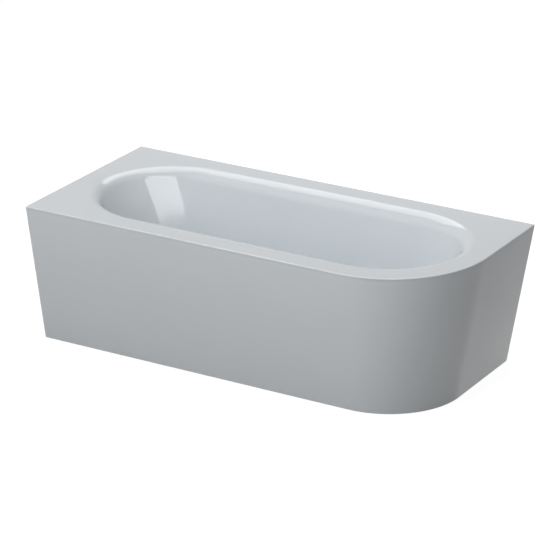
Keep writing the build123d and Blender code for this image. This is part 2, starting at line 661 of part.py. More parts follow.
def front_braces():
    """Angles from the rails' front ends down to the apron's bottom flange."""
    near = -RAIL_END
    far = -WIDTH / 2 + APRON_FOOT_INSET + BRACE_FROM_APRON
    braces = []
    for x in rail_places():
        x_span = (x - BRACE_WIDTH / 2, x + BRACE_WIDTH / 2)
        upright = block(x_span, (near - BRACE_SHEET, near), (FLANGE_TOP, RAIL_TOP))
        foot = block(x_span, (far, near), (FLANGE_TOP, FLANGE_TOP + BRACE_SHEET))
        screw_hole = Pos(x, -WIDTH / 2 + SCREW_INSET, 0) * rod(
            APRON_SCREW_RADIUS + HOLE_CLEARANCE, 0, FLANGE_TOP + 2 * BRACE_SHEET
        )
        bolt_hole = rod(BRACE_BOLT_RADIUS + HOLE_CLEARANCE, -2 * BRACE_SHEET, 2 * BRACE_SHEET)
        brace = upright + foot - screw_hole
        braces.append(brace - along_y(x, near, RAIL_BOLT_HEIGHT) * bolt_hole)
    return braces


def end_brace():
    """A long strap from the right rail to the apron's bottom flange at the end."""
    near = RAIL_CENTRE + RAIL_WIDTH / 2
    drop = LENGTH / 2 - APRON_LEAN - 2 * APRON_FLANGE
    far = LENGTH / 2 - APRON_FOOT_INSET - BRACE_FROM_APRON
    y_span = (-BRACE_WIDTH / 2, BRACE_WIDTH / 2)
    level = RAIL_BOTTOM - BRACE_SHEET
    tab = block((near, near + BRACE_SHEET), y_span, (level, RAIL_TOP - DEADENING))
    strap = block((near, drop), y_span, (level, level + BRACE_SHEET))
    upright = block((drop, drop + BRACE_SHEET), y_span, (FLANGE_TOP, level + BRACE_SHEET))
    foot = block((drop, far), y_span, (FLANGE_TOP, FLANGE_TOP + BRACE_SHEET))
    screw_hole = Pos(LENGTH / 2 - SCREW_INSET, 0, 0) * rod(
        APRON_SCREW_RADIUS + HOLE_CLEARANCE, 0, FLANGE_TOP + 2 * BRACE_SHEET
    )
    bolt_hole = rod(BRACE_BOLT_RADIUS + HOLE_CLEARANCE, -2 * BRACE_SHEET, 2 * BRACE_SHEET)
    brace = tab + strap + upright + foot - screw_hole
    return brace - along_x(near, 0, RAIL_BOLT_HEIGHT) * bolt_hole


def brace_bolt_places():
    """A plane at the outer face of each brace, pointing away from the rail."""
    height = RAIL_BOLT_HEIGHT
    front = -RAIL_END - BRACE_SHEET
    places = [Plane((x, front, height), x_dir=(1, 0, 0), z_dir=(0, -1, 0)) for x in rail_places()]
    end_face = RAIL_CENTRE + RAIL_WIDTH / 2 + BRACE_SHEET
    return places + [Plane((end_face, 0, height), x_dir=(0, 1, 0), z_dir=(1, 0, 0))]


def brace_bolts():
    """Bolts that hold the braces on the rails."""
    shank = 2 * BRACE_SHEET + RAIL_SHEET + BRACE_NUT_HEIGHT
    bolt = hex_bolt(BRACE_BOLT_RADIUS, BRACE_BOLT_FLATS, BRACE_BOLT_HEAD, shank)
    return [place * bolt for place in brace_bolt_places()]


def brace_nuts():
    """Nuts of the brace bolts, inside the channel."""
    nut = hex_nut(BRACE_BOLT_RADIUS + TURNING_CLEARANCE, BRACE_BOLT_FLATS, BRACE_NUT_HEIGHT)
    seat = Pos(0, 0, -BRACE_SHEET - RAIL_SHEET - BRACE_NUT_HEIGHT)
    return [place * (seat * nut) for place in brace_bolt_places()]


def apron_screws():
    """Pan-head screws through the brace feet into the apron's bottom flange."""
    seat = FLANGE_TOP + BRACE_SHEET
    head = rod(APRON_SCREW_HEAD_RADIUS, seat, seat + APRON_SCREW_HEAD)
    head = fillet(head.edges().group_by(Axis.Z)[-1], APRON_SCREW_HEAD / 2)
    screw = head + rod(APRON_SCREW_RADIUS, FLOOR_GAP / 2, seat + 0.1)
    return [Pos(x, y, 0) * screw for x, y in apron_screw_places()]


def anchor_places():
    """A plane in the wall at the lower end of the turned-down edge, Z pointing into the wall."""
    at_back = [(x, WIDTH / 2, WALL_EDGE_BOTTOM) for x in BACK_ANCHOR_X]
    at_left = (-LENGTH / 2, LEFT_ANCHOR_Y, WALL_EDGE_BOTTOM)
    back = [Plane(place, x_dir=(-1, 0, 0), z_dir=(0, 1, 0)) for place in at_back]
    return back + [Plane(at_left, x_dir=(0, -1, 0), z_dir=(-1, 0, 0))]


def wall_anchors():
    """Folded steel brackets: a wall plate with two holes, a shelf and a hook."""
    half = ANCHOR_WIDTH / 2
    shelf_top = -ANCHOR_BELOW_EDGE
    shelf_low = shelf_top - ANCHOR_SHEET
    hook_face = -ANCHOR_HOOK_REACH
    plate = block((-half, half), (shelf_top - ANCHOR_PLATE_HEIGHT, shelf_top), (-ANCHOR_SHEET, 0))
    shelf = block((-half, half), (shelf_low, shelf_top), (hook_face, 0))
    hook_span = (shelf_low, shelf_top + ANCHOR_HOOK_RISE)
    hook = block((-half, half), hook_span, (hook_face, hook_face + ANCHOR_SHEET))
    bracket = plate + shelf + hook
    middle = shelf_low - ANCHOR_PLATE_HEIGHT / 2
    for rise in (-ANCHOR_HOLE_SPACING / 2, ANCHOR_HOLE_SPACING / 2):
        bracket -= Pos(0, middle + rise, 0) * rod(ANCHOR_HOLE_RADIUS, -2 * ANCHOR_SHEET, ANCHOR_SHEET)
    bracket -= Pos(0, anchor_screw_rise(), 0) * rod(
        ANCHOR_SCREW_RADIUS + TURNING_CLEARANCE, hook_face - 1, hook_face + ANCHOR_SHEET + 1
    )
    return [place * bracket for place in anchor_places()]


def anchor_screw_rise():
    """Height of the clamp screw above the lower end of the turned-down edge."""
    return ANCHOR_HOOK_RISE / 2 - ANCHOR_BELOW_EDGE / 2


def anchor_pads():
    """Rubber blocks between the hook and the turned-down edge."""
    half = ANCHOR_WIDTH / 2
    top = -ANCHOR_BELOW_EDGE + ANCHOR_HOOK_RISE
    pad = block((-half, half), (-ANCHOR_BELOW_EDGE, top), (-ANCHOR_HOOK_REACH + ANCHOR_SHEET, -SHEET))
    return [place * pad for place in anchor_places()]


def anchor_clamp_screws():
    """Hex screws that press the rubber blocks against the edge."""
    tip = -ANCHOR_HOOK_REACH + ANCHOR_SHEET
    screw = rod(ANCHOR_SCREW_RADIUS, tip - ANCHOR_SCREW_LENGTH, tip)
    head = tip - ANCHOR_SCREW_LENGTH
    screw += hexagon(ANCHOR_SCREW_FLATS, head - ANCHOR_SCREW_RADIUS, head + 0.1)
    return [place * (Pos(0, anchor_screw_rise(), 0) * screw) for place in anchor_places()]


def earth_lug():
    """A drilled tab welded under the floor for the earthing wire."""
    half = EARTH_LUG_WIDTH / 2
    plate = block(
        (EARTH_LUG_X - half, EARTH_LUG_X + half),
        (EARTH_LUG_Y - LUG_SHEET / 2, EARTH_LUG_Y + LUG_SHEET / 2),
        (FLOOR_UNDERSIDE - EARTH_LUG_HEIGHT, FLOOR_UNDERSIDE),
    )
    hole = rod(EARTH_HOLE_RADIUS, -LUG_SHEET, LUG_SHEET)
    return plate - along_y(EARTH_LUG_X, EARTH_LUG_Y, FLOOR_UNDERSIDE - EARTH_LUG_HEIGHT / 2) * hole


def spider(low, shaft_radius):
    """A hub on spokes inside a fitting's neck, bored for a stem or shaft."""
    hub = rod(FITTING_HUB_RADIUS, low, low + FITTING_HUB_HEIGHT)
    half = FITTING_SPOKE_WIDTH / 2
    spoke = block((0, FITTING_NECK_BORE + 1), (-half, half), (low, low + FITTING_HUB_HEIGHT))
    for index in range(FITTING_SPOKES):
        hub += Rot(0, 0, 90 + index * 360 / FITTING_SPOKES) * spoke
    return hub - rod(shaft_radius + TURNING_CLEARANCE, low - 1, low + FITTING_HUB_HEIGHT + 1)


def waste_flange():
    """The chromed flange in the floor with its threaded neck and guide spider."""
    flange = rod(WASTE_FLANGE_RADIUS, FLANGE_SEAT, WASTE_FLANGE_TOP)
    flange = fillet(flange.edges().group_by(Axis.Z)[-1], WASTE_FLANGE_THICKNESS / 2)
    neck = rod(FITTING_NECK_RADIUS, WASTE_NECK_BOTTOM, FLANGE_SEAT + 1)
    bore = rod(FITTING_NECK_BORE, WASTE_NECK_BOTTOM - 1, WASTE_FLANGE_TOP + 1)
    return flange + neck - bore + spider(WASTE_NECK_BOTTOM, PLUG_STEM_RADIUS)


def waste_flange_seal():
    """A thin washer between the flange and the enamel."""
    return ring(WASTE_FLANGE_RADIUS - 1, FITTING_NECK_RADIUS + SEAT_GAP, RECESS_FLOOR, FLANGE_SEAT)


def waste_gasket():
    """The rubber ring under the floor."""
    return ring(GASKET_RADIUS, FITTING_NECK_RADIUS + SEAT_GAP, WASTE_BODY_TOP, RECESS_UNDERSIDE)


def waste_body():
    """The moulded waste body: chamber, overflow branch, lever boss and dip tube."""
    chamber_top = WASTE_BODY_TOP - BODY_FLANGE
    body = rod(GASKET_RADIUS, chamber_top, WASTE_BODY_TOP)
    body += rod(BODY_RADIUS, WASTE_BODY_BOTTOM - BODY_FLOOR, chamber_top + 1)
    body += rod(DIP_TUBE_RADIUS, TRAP_INSIDE_BOTTOM + TRAP_DIP_GAP, WASTE_BODY_BOTTOM)
    branch = along_y(0, 0, BRANCH_HEIGHT)
    body += branch * rod(PIPE_SOCKET_RADIUS, -SPIGOT_END, -SPIGOT_START)
    boss = along_x(0, LEVER_Y, LEVER_HEIGHT)
    body += boss * rod(LEVER_BOSS_RADIUS, SPIGOT_START, LEVER_BOSS_END)
    body -= rod(FITTING_BORE, WASTE_BODY_BOTTOM, WASTE_BODY_TOP + 1)
    body -= rod(DIP_TUBE_RADIUS - TUBE_WALL, TRAP_INSIDE_BOTTOM, WASTE_BODY_BOTTOM + 1)
    body -= branch * rod(PIPE_SOCKET_BORE, -SPIGOT_END - 1, -SPIGOT_END + PIPE_INSERT)
    body -= branch * rod(PIPE_RADIUS - PIPE_WALL, -SPIGOT_END, -SPIGOT_START)
    body -= boss * rod(LEVER_SHAFT_RADIUS + TURNING_CLEARANCE, 0, LEVER_BOSS_END + 1)
    return body


def waste_plug():
    """The domed plug with its stem, closed at rest."""
    low = WASTE_FLANGE_TOP + SEAT_GAP
    seat = low + PLUG_SEAL_THICKNESS
    radius = (PLUG_RADIUS ** 2 + PLUG_DOME_HEIGHT ** 2) / (2 * PLUG_DOME_HEIGHT)
    edge_top = seat + PLUG_EDGE
    dome = Pos(0, 0, edge_top + PLUG_DOME_HEIGHT - radius) * Sphere(radius)
    cap = dome & rod(PLUG_RADIUS, seat, edge_top + PLUG_DOME_HEIGHT + 1)
    boss = rod(PLUG_BOSS_RADIUS - SEAT_GAP / 3, low, seat + 1)
    stem_low = TIP_TOP + SEAT_GAP + PLUG_STEM_RADIUS
    stem = rod(PLUG_STEM_RADIUS, stem_low, seat) + Pos(0, 0, stem_low) * Sphere(PLUG_STEM_RADIUS)
    return cap + boss + stem


def plug_seal():
    """The rubber ring under the plug's edge."""
    low = WASTE_FLANGE_TOP + SEAT_GAP
    return ring(PLUG_SEAL_RADIUS, PLUG_BOSS_RADIUS, low, low + PLUG_SEAL_THICKNESS)


def grooved_wheel(radius, low, high):
    """A wheel along Z with a square groove for the cable's wire."""
    middle = (low + high) / 2
    groove = ring(radius + 1, radius - WIRE_GROOVE, middle - WIRE_GROOVE, middle + WIRE_GROOVE)
    return rod(radius, low, high) - groove


def lift_lever():
    """The lever: an arm under the stem, a shaft through the boss and a crank outside."""
    axis = along_x(0, LEVER_Y, LEVER_HEIGHT)
    half = LEVER_ARM_WIDTH / 2
    shaft = axis * rod(LEVER_SHAFT_RADIUS, -half - LEVER_SHAFT_TAIL, CRANK_START + CRANK_WIDTH)
    crank = axis * grooved_wheel(CRANK_RADIUS, CRANK_START, CRANK_START + CRANK_WIDTH)
    hub = axis * rod(LEVER_SHAFT_RADIUS + 2, -half, half)
    arm = block((-half, half), (-LEVER_ARM, 0), (-LEVER_ARM_THICKNESS / 2, LEVER_ARM_THICKNESS / 2))
    arm += along_x(0, -LEVER_ARM, 0) * rod(LEVER_TIP_RADIUS, -half, half)
    arm = Pos(0, LEVER_Y, LEVER_HEIGHT) * Rot(LEVER_SWING, 0, 0) * arm
    return shaft + crank + hub + arm


def nipple(place, bore_depth):
    """A short socket for the cable's sheath, bored through for its wire."""
    outer = place * rod(CABLE_RADIUS + TURNING_CLEARANCE + NIPPLE_WALL, 0, NIPPLE_LENGTH)
    sheath = place * rod(CABLE_RADIUS + TURNING_CLEARANCE, NIPPLE_LENGTH - CABLE_INSERT, NIPPLE_LENGTH + 1)
    wire = place * rod(CABLE_RADIUS / 2, -bore_depth, NIPPLE_LENGTH)
    return outer, sheath + wire


def lever_cover():
    """A cap over the crank with a socket for the cable."""
    axis = along_x(0, LEVER_Y, LEVER_HEIGHT)
    cover = axis * rod(COVER_RADIUS, LEVER_BOSS_END, COVER_END)
    outer, hollow = nipple(lever_cable_place(), COVER_RADIUS)
    cover += outer
    cover -= axis * rod(COVER_RADIUS - COVER_WALL, LEVER_BOSS_END - 1, COVER_END - COVER_WALL)
    return cover - hollow


def lever_cable_place():
    """Where the cable's socket leaves the lever cover, pointing to the front."""
    x = CRANK_START + CRANK_WIDTH / 2
    y = LEVER_Y - math.sqrt(COVER_RADIUS**2 - WIRE_ON_CRANK**2) + COVER_WALL
    return Plane((x, y, LEVER_HEIGHT + WIRE_ON_CRANK), x_dir=(1, 0, 0), z_dir=(0, -1, 0))


def trap_body():
    """The moulded trap cup with a neck for the dip tube and an outlet socket."""
    outlet = along_y(0, 0, OUTLET_HEIGHT)
    body = rod(TRAP_RADIUS, TRAP_FLOOR_CLEARANCE, TRAP_TOP)
    body += rod(SOCKET_RADIUS, TRAP_TOP - 1, TRAP_TOP + TRAP_NECK_HEIGHT)
    body += outlet * rod(SOCKET_RADIUS, TRAP_RADIUS - 2 * TRAP_WALL, OUTLET_SOCKET_END)
    body -= rod(TRAP_RADIUS - TRAP_WALL, TRAP_INSIDE_BOTTOM, TRAP_TOP - TRAP_WALL)
    body -= rod(SOCKET_BORE, TRAP_TOP - TRAP_WALL - 1, TRAP_TOP + TRAP_NECK_HEIGHT + 1)
    body -= outlet * rod(DIP_TUBE_RADIUS - TUBE_WALL, TRAP_RADIUS - 2 * TRAP_WALL, OUTLET_SOCKET_END)
    return body - outlet * rod(SOCKET_BORE, OUTLET_SOCKET_END - OUTLET_PIPE_INSERT, OUTLET_SOCKET_END + 1)


def slip_nut(socket_radius, tube_radius):
    """A round slip nut that ends its socket at 0 and bears on the tube beyond."""
    outer = socket_radius + NUT_WALL
    nut = rod(outer, -NUT_LENGTH + NUT_LIP, NUT_LIP)
    nut -= rod(socket_radius + TURNING_CLEARANCE, -NUT_LENGTH, 0)
    nut -= rod(tube_radius + TURNING_CLEARANCE, -1, NUT_LIP + 1)
    flute = Pos(outer, 0, 0) * rod(NUT_FLUTE_RADIUS, -NUT_LENGTH, NUT_LIP + 1)
    for index in range(NUT_FLUTES):
        nut -= Rot(0, 0, index * 360 / NUT_FLUTES) * flute
    return nut


def trap_union_nut():
    """The nut that seals the trap's neck on the dip tube."""
    nut = slip_nut(SOCKET_RADIUS, DIP_TUBE_RADIUS)
    room = rod(2 * SOCKET_RADIUS, SEAT_GAP - TRAP_NECK_HEIGHT, NUT_LIP - SEAT_GAP)
    return Pos(0, 0, TRAP_TOP + TRAP_NECK_HEIGHT) * (nut & room)


def trap_outlet_nut():
    """The nut that seals the outlet pipe in its socket."""
    return along_y(0, OUTLET_SOCKET_END, OUTLET_HEIGHT) * slip_nut(SOCKET_RADIUS, DIP_TUBE_RADIUS)


def outlet_pipe():
    """The outlet pipe towards the back wall, whose free end takes the house drain."""
    start = OUTLET_SOCKET_END - OUTLET_PIPE_INSERT
    stop = OUTLET_PIPE_END - OUTLET_FREE_END
    pipe = rod(DIP_TUBE_RADIUS, start, OUTLET_PIPE_END)
    pipe += rod(DIP_TUBE_RADIUS + OUTLET_COLLAR, stop - OUTLET_COLLAR, stop)
    pipe -= rod(DIP_TUBE_RADIUS - TUBE_WALL, start - 1, OUTLET_PIPE_END + 1)
    return along_y(0, 0, OUTLET_HEIGHT) * pipe


def overflow_faceplate():
    """The chromed ring on the front wall with its threaded neck and shaft spider."""
    plate = rod(FACEPLATE_RADIUS, 0, FACEPLATE_THICKNESS)
    plate = fillet(plate.edges().group_by(Axis.Z)[-1], FACEPLATE_THICKNESS / 2)
    neck = rod(FITTING_NECK_RADIUS, -OVERFLOW_NECK_LENGTH, 1)
    bore = rod(FITTING_NECK_BORE, -OVERFLOW_NECK_LENGTH - 1, FACEPLATE_THICKNESS + 1)
    return OVERFLOW * (plate + neck - bore + spider(-FITTING_HUB_HEIGHT, KNOB_SHAFT_RADIUS))


def overflow_gasket():
    """The rubber ring behind the front wall."""
    return OVERFLOW * ring(WASTE_FLANGE_RADIUS, FITTING_NECK_RADIUS + SEAT_GAP, -CHAMBER_FRONT, -SHEET)


def overflow_pipe_axis():
    """The overflow body's outlet, pointing down along the wall."""
    return Plane((0, 0, -PIPE_DEPTH), x_dir=(1, 0, 0), z_dir=(0, -1, 0))


def overflow_body():
    """The moulded overflow body: flange, chamber, shaft bearing and down spigot."""
    back = CHAMBER_BACK + BODY_FLOOR
    down = overflow_pipe_axis()
    body = rod(WASTE_FLANGE_RADIUS, -CHAMBER_FRONT - BODY_FLANGE, -CHAMBER_FRONT)
    body += rod(BODY_RADIUS, -back, -CHAMBER_FRONT - 1)
    body += down * rod(PIPE_SOCKET_RADIUS, SPIGOT_START, SPIGOT_END)
    body -= rod(FITTING_BORE, -CHAMBER_BACK, -CHAMBER_FRONT + 1)
    body += rod(FITTING_HUB_RADIUS, -back, -CHAMBER_BACK + FITTING_HUB_HEIGHT)
    body -= rod(KNOB_SHAFT_RADIUS + TURNING_CLEARANCE, -back - 1, 0)
    body -= down * rod(PIPE_RADIUS - PIPE_WALL, SPIGOT_START, SPIGOT_END)
    body -= down * rod(PIPE_SOCKET_BORE, SPIGOT_END - PIPE_INSERT, SPIGOT_END + 1)
    return OVERFLOW * body


def overflow_knob():
    """The chromed rotary knob with its grip and long shaft."""
    disc = rod(KNOB_RADIUS, KNOB_STAND_OFF, KNOB_STAND_OFF + KNOB_THICKNESS)
    disc = fillet(disc.edges(), KNOB_EDGE_RADIUS)
    top = KNOB_STAND_OFF + KNOB_THICKNESS
    grip_length = 2 * (KNOB_RADIUS - KNOB_GRIP_WIDTH / 2)
    grip = Pos(0, 0, top - 1) * extrude(SlotOverall(grip_length, KNOB_GRIP_WIDTH), KNOB_GRIP_HEIGHT + 1)
    grip = fillet(grip.edges().group_by(Axis.Z)[-1], KNOB_EDGE_RADIUS)
    hub = rod(KNOB_HUB_RADIUS, SEAT_GAP, top - 1)
    shaft = rod(KNOB_SHAFT_RADIUS, -DRUM_BACK, top - 1)
    return OVERFLOW * (disc + grip + hub + shaft)


def cable_drum():
    """The grooved drum on the knob's shaft that winds the cable's wire."""
    wheel = grooved_wheel(DRUM_RADIUS, -DRUM_BACK, -DRUM_FRONT)
    return OVERFLOW * (wheel - rod(KNOB_SHAFT_RADIUS, -DRUM_BACK - 1, 0))


def drum_cable_place():
    """Where the cable's socket leaves the drum cover, pointing down."""
    middle = -(DRUM_FRONT + DRUM_BACK) / 2
    drop = math.sqrt(DRUM_COVER_RADIUS**2 - WIRE_ON_DRUM**2) - COVER_WALL
    return Plane((-WIRE_ON_DRUM, -drop, middle), x_dir=(1, 0, 0), z_dir=(0, -1, 0))


def drum_cover():
    """A cap over the drum, fixed on the back of the overflow body."""
    front = CHAMBER_BACK + BODY_FLOOR
    back = DRUM_BACK + COVER_PLAY + COVER_WALL
    cover = rod(DRUM_COVER_RADIUS, -back, -front)
    outer, hollow = nipple(drum_cable_place(), DRUM_COVER_RADIUS / 2)
    cover += outer
    cover -= rod(DRUM_COVER_RADIUS - COVER_WALL, -back + COVER_WALL, -front + 1)
    return OVERFLOW * (cover - hollow)


def overflow_pipe():
    """The pipe from the overflow down the wall and under the floor to the waste."""
    start = OVERFLOW.from_local_coords(Vector(0, -SPIGOT_END + PIPE_INSERT, -PIPE_DEPTH))
    fall = OVERFLOW.from_local_coords(Vector(0, -SPIGOT_END, -PIPE_DEPTH)) - start
    run = (start.Z - BRANCH_HEIGHT) / -fall.Z
    corner = start + fall * run
    finish = Vector(0, -SPIGOT_END + PIPE_INSERT, BRANCH_HEIGHT)
    route = FilletPolyline(start, corner, finish, radius=PIPE_BEND_RADIUS)
    end = Plane(route @ 0, z_dir=route % 0)
    outer = sweep(end * Circle(PIPE_RADIUS), path=route)
    inner = sweep(end * Circle(PIPE_RADIUS - PIPE_WALL), path=route)
    return outer - inner


def overflow_pipe_nuts():
    """The two slip nuts that seal the overflow pipe in its spigots."""
    nut = slip_nut(PIPE_SOCKET_RADIUS, PIPE_RADIUS)
    upper = OVERFLOW * (overflow_pipe_axis() * (Pos(0, 0, SPIGOT_END) * nut))
    lower = Plane((0, -SPIGOT_END, BRANCH_HEIGHT), x_dir=(1, 0, 0), z_dir=(0, -1, 0)) * nut
    return [upper, lower]


def bowden_cable():
    """The sheathed cable from the drum to the lift lever, held at both ends."""
    seat = NIPPLE_LENGTH - CABLE_INSERT
    upper_place = OVERFLOW * drum_cable_place().location
    start = Vector((upper_place * Pos(0, 0, seat)).position)
    below = Vector((upper_place * Pos(0, 0, seat + CABLE_STEADY_DROP)).position)
    lower_place = lever_cable_place()
    finish = lower_place.from_local_coords(Vector(0, 0, seat))
    slope = (below - start) / (start - below).length
    run = (below.Z - finish.Z) / -slope.Z
    corner = below + slope * run + Vector((finish.X - below.X) / 2, 0, 0)
    approach = Vector(finish.X, finish.Y - CABLE_STEADY_DROP, finish.Z)
    points = [start, below, corner, approach, finish]
    radii = []
    for before, here, after in zip(points, points[1:], points[2:]):
        turn = math.radians((here - before).get_angle(after - here))
        shorter = min((here - before).length, (after - here).length)
        radii.append(min(CABLE_LARGEST_BEND, CABLE_BEND_SHARE * shorter / math.tan(turn / 2)))
    print("Bowden cable radii", [round(radius) for radius in radii])
    route = FilletPolyline(*points, radius=radii)
    print("Bowden cable length", round(route.length, 1))
    return sweep(Plane(route @ 0, z_dir=route % 0) * Circle(CABLE_RADIUS), path=route)


def make_parts():
    """Every sub-part by name, either one solid or a list of like solids."""
    parts = {
        "bath_shell": bath_shell(),
        "apron": apron(),
        "apron_bond_strip": apron_bond_strip(),
        "floor_deadening": floor_deadening(),
        "wall_deadening": wall_deadening(),
        "apron_deadening": apron_deadening(),
        "cross_rail_left": cross_rail(-RAIL_CENTRE),
        "cross_rail_right": cross_rail(RAIL_CENTRE),
        "rail_pads": rail_pads(),
        "rail_lugs": rail_lugs(),
        "rail_bolts": rail_bolts(),
        "rail_nuts": rail_nuts(),
        "foot_weld_nuts": foot_weld_nuts(),
        "foot_lock_nuts": foot_lock_nuts(),
        "front_braces": front_braces(),
        "end_brace": end_brace(),
        "brace_bolts": brace_bolts(),
        "brace_nuts": brace_nuts(),
        "apron_screws": apron_screws(),
        "wall_anchors": wall_anchors(),
        "anchor_pads": anchor_pads(),
        "anchor_clamp_screws": anchor_clamp_screws(),
        "earth_lug": earth_lug(),
        "waste_flange": waste_flange(),
        "waste_flange_seal": waste_flange_seal(),
        "waste_gasket": waste_gasket(),
        "waste_body": waste_body(),
        "waste_plug": waste_plug(),
        "plug_seal": plug_seal(),
        "lift_lever": lift_lever(),
        "lever_cover": lever_cover(),
        "trap_body": trap_body(),
        "trap_union_nut": trap_union_nut(),
        "trap_outlet_nut": trap_outlet_nut(),
        "outlet_pipe": outlet_pipe(),
        "overflow_faceplate": overflow_faceplate(),
        "overflow_gasket": overflow_gasket(),
        "overflow_body": overflow_body(),
        "overflow_knob": overflow_knob(),
        "cable_drum": cable_drum(),
        "drum_cover": drum_cover(),
        "overflow_pipe": overflow_pipe(),
        "overflow_pipe_nuts": overflow_pipe_nuts(),
        "bowden_cable": bowden_cable(),
    }
    for name, x, y in foot_places():
        parts["foot_stem_" + name] = Pos(x, y, 0) * foot_stem()
        parts["foot_base_" + name] = Pos(x, y, 0) * foot_base()
        parts["foot_sole_" + name] = Pos(x, y, 0) * foot_sole()
    return parts


os.makedirs("parts", exist_ok=True)
for part_name, shape in make_parts().items():
    pieces = shape if isinstance(shape, list) else [shape]
    solids = [solid for piece in pieces for solid in piece.solids()]
    export_step(Compound(children=solids), f"parts/{part_name}.step")
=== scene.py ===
import json
import math

import bmesh
import bpy
import numpy as np
from mathutils import Matrix, Vector


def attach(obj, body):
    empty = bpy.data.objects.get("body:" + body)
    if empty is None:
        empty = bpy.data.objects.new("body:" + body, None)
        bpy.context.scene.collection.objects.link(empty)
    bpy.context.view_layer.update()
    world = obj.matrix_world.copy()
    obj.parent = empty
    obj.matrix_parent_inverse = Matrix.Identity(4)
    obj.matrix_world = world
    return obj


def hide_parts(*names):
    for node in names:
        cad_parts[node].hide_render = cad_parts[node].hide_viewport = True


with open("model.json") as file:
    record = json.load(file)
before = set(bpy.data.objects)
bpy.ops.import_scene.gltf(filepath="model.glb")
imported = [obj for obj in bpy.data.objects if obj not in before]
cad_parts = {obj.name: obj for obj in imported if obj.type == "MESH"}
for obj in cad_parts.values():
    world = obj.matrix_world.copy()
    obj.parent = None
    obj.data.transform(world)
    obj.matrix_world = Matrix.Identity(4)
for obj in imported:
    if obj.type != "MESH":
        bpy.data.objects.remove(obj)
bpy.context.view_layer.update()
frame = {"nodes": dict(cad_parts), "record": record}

# Camera. It stands in front of the bath to the right and looks down into it through a long lens,
# as a catalogue picture is taken. Its place and turn were worked out from the bath's corners.
CAMERA_PLACE = (5.220148, -8.765102, 4.419046)
CAMERA_TURN = 0.5364441
CAMERA_DOWN = 0.3826286
CAMERA_ROLL = -0.0030077
SENSOR_WIDTH = 36.0
LENS_LENGTH = 186.768


def new_object(name, data):
    """Puts an object into the scene, at the origin."""
    thing = bpy.data.objects.new(name, data)
    bpy.context.scene.collection.objects.link(thing)
    return thing


camera_data = bpy.data.cameras.new("camera")
camera_data.sensor_width = SENSOR_WIDTH
camera_data.lens = LENS_LENGTH
camera = new_object("camera", camera_data)
camera.matrix_world = (
    Matrix.Translation(CAMERA_PLACE)
    @ Matrix.Rotation(CAMERA_TURN, 4, "Z")
    @ Matrix.Rotation(math.pi / 2 - CAMERA_DOWN, 4, "X")
    @ Matrix.Rotation(CAMERA_ROLL, 4, "Z")
)
bpy.context.scene.camera = camera


# Bath shell. One steel sheet pressed into rim, rolled lip and basin, then enamelled: glossy pale
# enamel on the side that is seen, a dark ground coat underneath. Its edge turns down all round,
# further along the two walls, and stops short where the apron carries the rim's line on.
LENGTH = 1.750
WIDTH = 0.800
HEIGHT = 0.575
SHEET = 0.003
CORNER_RADIUS = 0.400
SQUARE_CORNER_RADIUS = 0.005
END_CENTRE = 0.475
RIM_EDGE_RADIUS = 0.004
LIP_RADIUS = 0.057
LEAN = math.radians(9.9)
RIM_OVERHANG = 0.000758
WALL_EDGE_BOTTOM = 0.540
FREE_EDGE_BOTTOM = 0.567
EDGE_STEP_INSET = 0.031
OPENING_HALF_WIDTH = 0.271317
OPENING_END_REACH = 0.285070
FLOOR_HALF_WIDTH = 0.204796
FLOOR_END_CENTRE = 0.341274
BASIN_DEPTH = 0.420
BASIN_FLOOR_RADIUS = 0.100
RECESS_RADIUS = 0.045
RECESS_DEPTH = 0.0025
FITTING_HOLE_RADIUS = 0.026
OVERFLOW_DEPTH = 0.095
FRONT_WALL_SLOPE = math.atan((OPENING_HALF_WIDTH - FLOOR_HALF_WIDTH) / BASIN_DEPTH)
CREASE = 30
NOISE_DETAIL = 3.0
SHADE_BAND = (0.35, 0.65)
POLISH_BAND = (0.3, 0.7)

# Steps of the shell's mesh: counts round its plan, and shares of each stretch of its section
STRAIGHT_STEPS = 80
CORNER_STEPS = 60
RAY = math.radians(90 / CORNER_STEPS)
SQUARE_CORNER_STEPS = 6
END_ANGLES = 2001
CONTACT_ROUNDS = 8
FIRST_DEPTH = 0.05
HAIR = 0.00005
STEP_SHOULDER = 0.0004
RECESS_FLAT = 0.006
RECESS_STEPS = (0, 0.35, 0.7, 1)
FLOOR_STEPS = (0.03, 0.15, 0.35, 0.6, 0.85, 0.99)
UNDER_FLOOR_STEPS = (0.99, 0.6, 0.2)
WALL_STEPS = (0.997, *np.linspace(0.95, 0.05, 17), 0.003)
RIM_STEPS = (0.006, 0.3, 0.7, 0.994)
UNDER_RIM_STEPS = (0.95, 0.5, 0.01)
PATCH_ROWS = 6
PATCH_HALF_COLUMNS = 5
PATCH_RINGS = (0.3, 0.6, 0.85, 1.0)


def new_finish(name, colour, roughness, **sockets):
    """A material with one shader, whose even values are set on the shader's own sockets."""
    finish = bpy.data.materials.new(name)
    finish.use_nodes = True
    shader = finish.node_tree.nodes["Principled BSDF"]
    shader.inputs["Base Color"].default_value = (*colour, 1.0)
    shader.inputs["Roughness"].default_value = roughness
    for socket, value in sockets.items():
        shader.inputs[socket.replace("_", " ").title().replace("Ior", "IOR")].default_value = value
    finish.diffuse_color = (*colour, 1.0)
    return finish


def noise_in(finish, size):
    """A noise in the piece's own space, whose lumps have the given size in metres."""
    nodes, links = finish.node_tree.nodes, finish.node_tree.links
    place = nodes.new("ShaderNodeTexCoord")
    noise = nodes.new("ShaderNodeTexNoise")
    noise.inputs["Scale"].default_value = 1.0 / size
    noise.inputs["Detail"].default_value = NOISE_DETAIL
    links.new(place.outputs["Object"], noise.inputs["Vector"])
    return noise.outputs["Fac"]


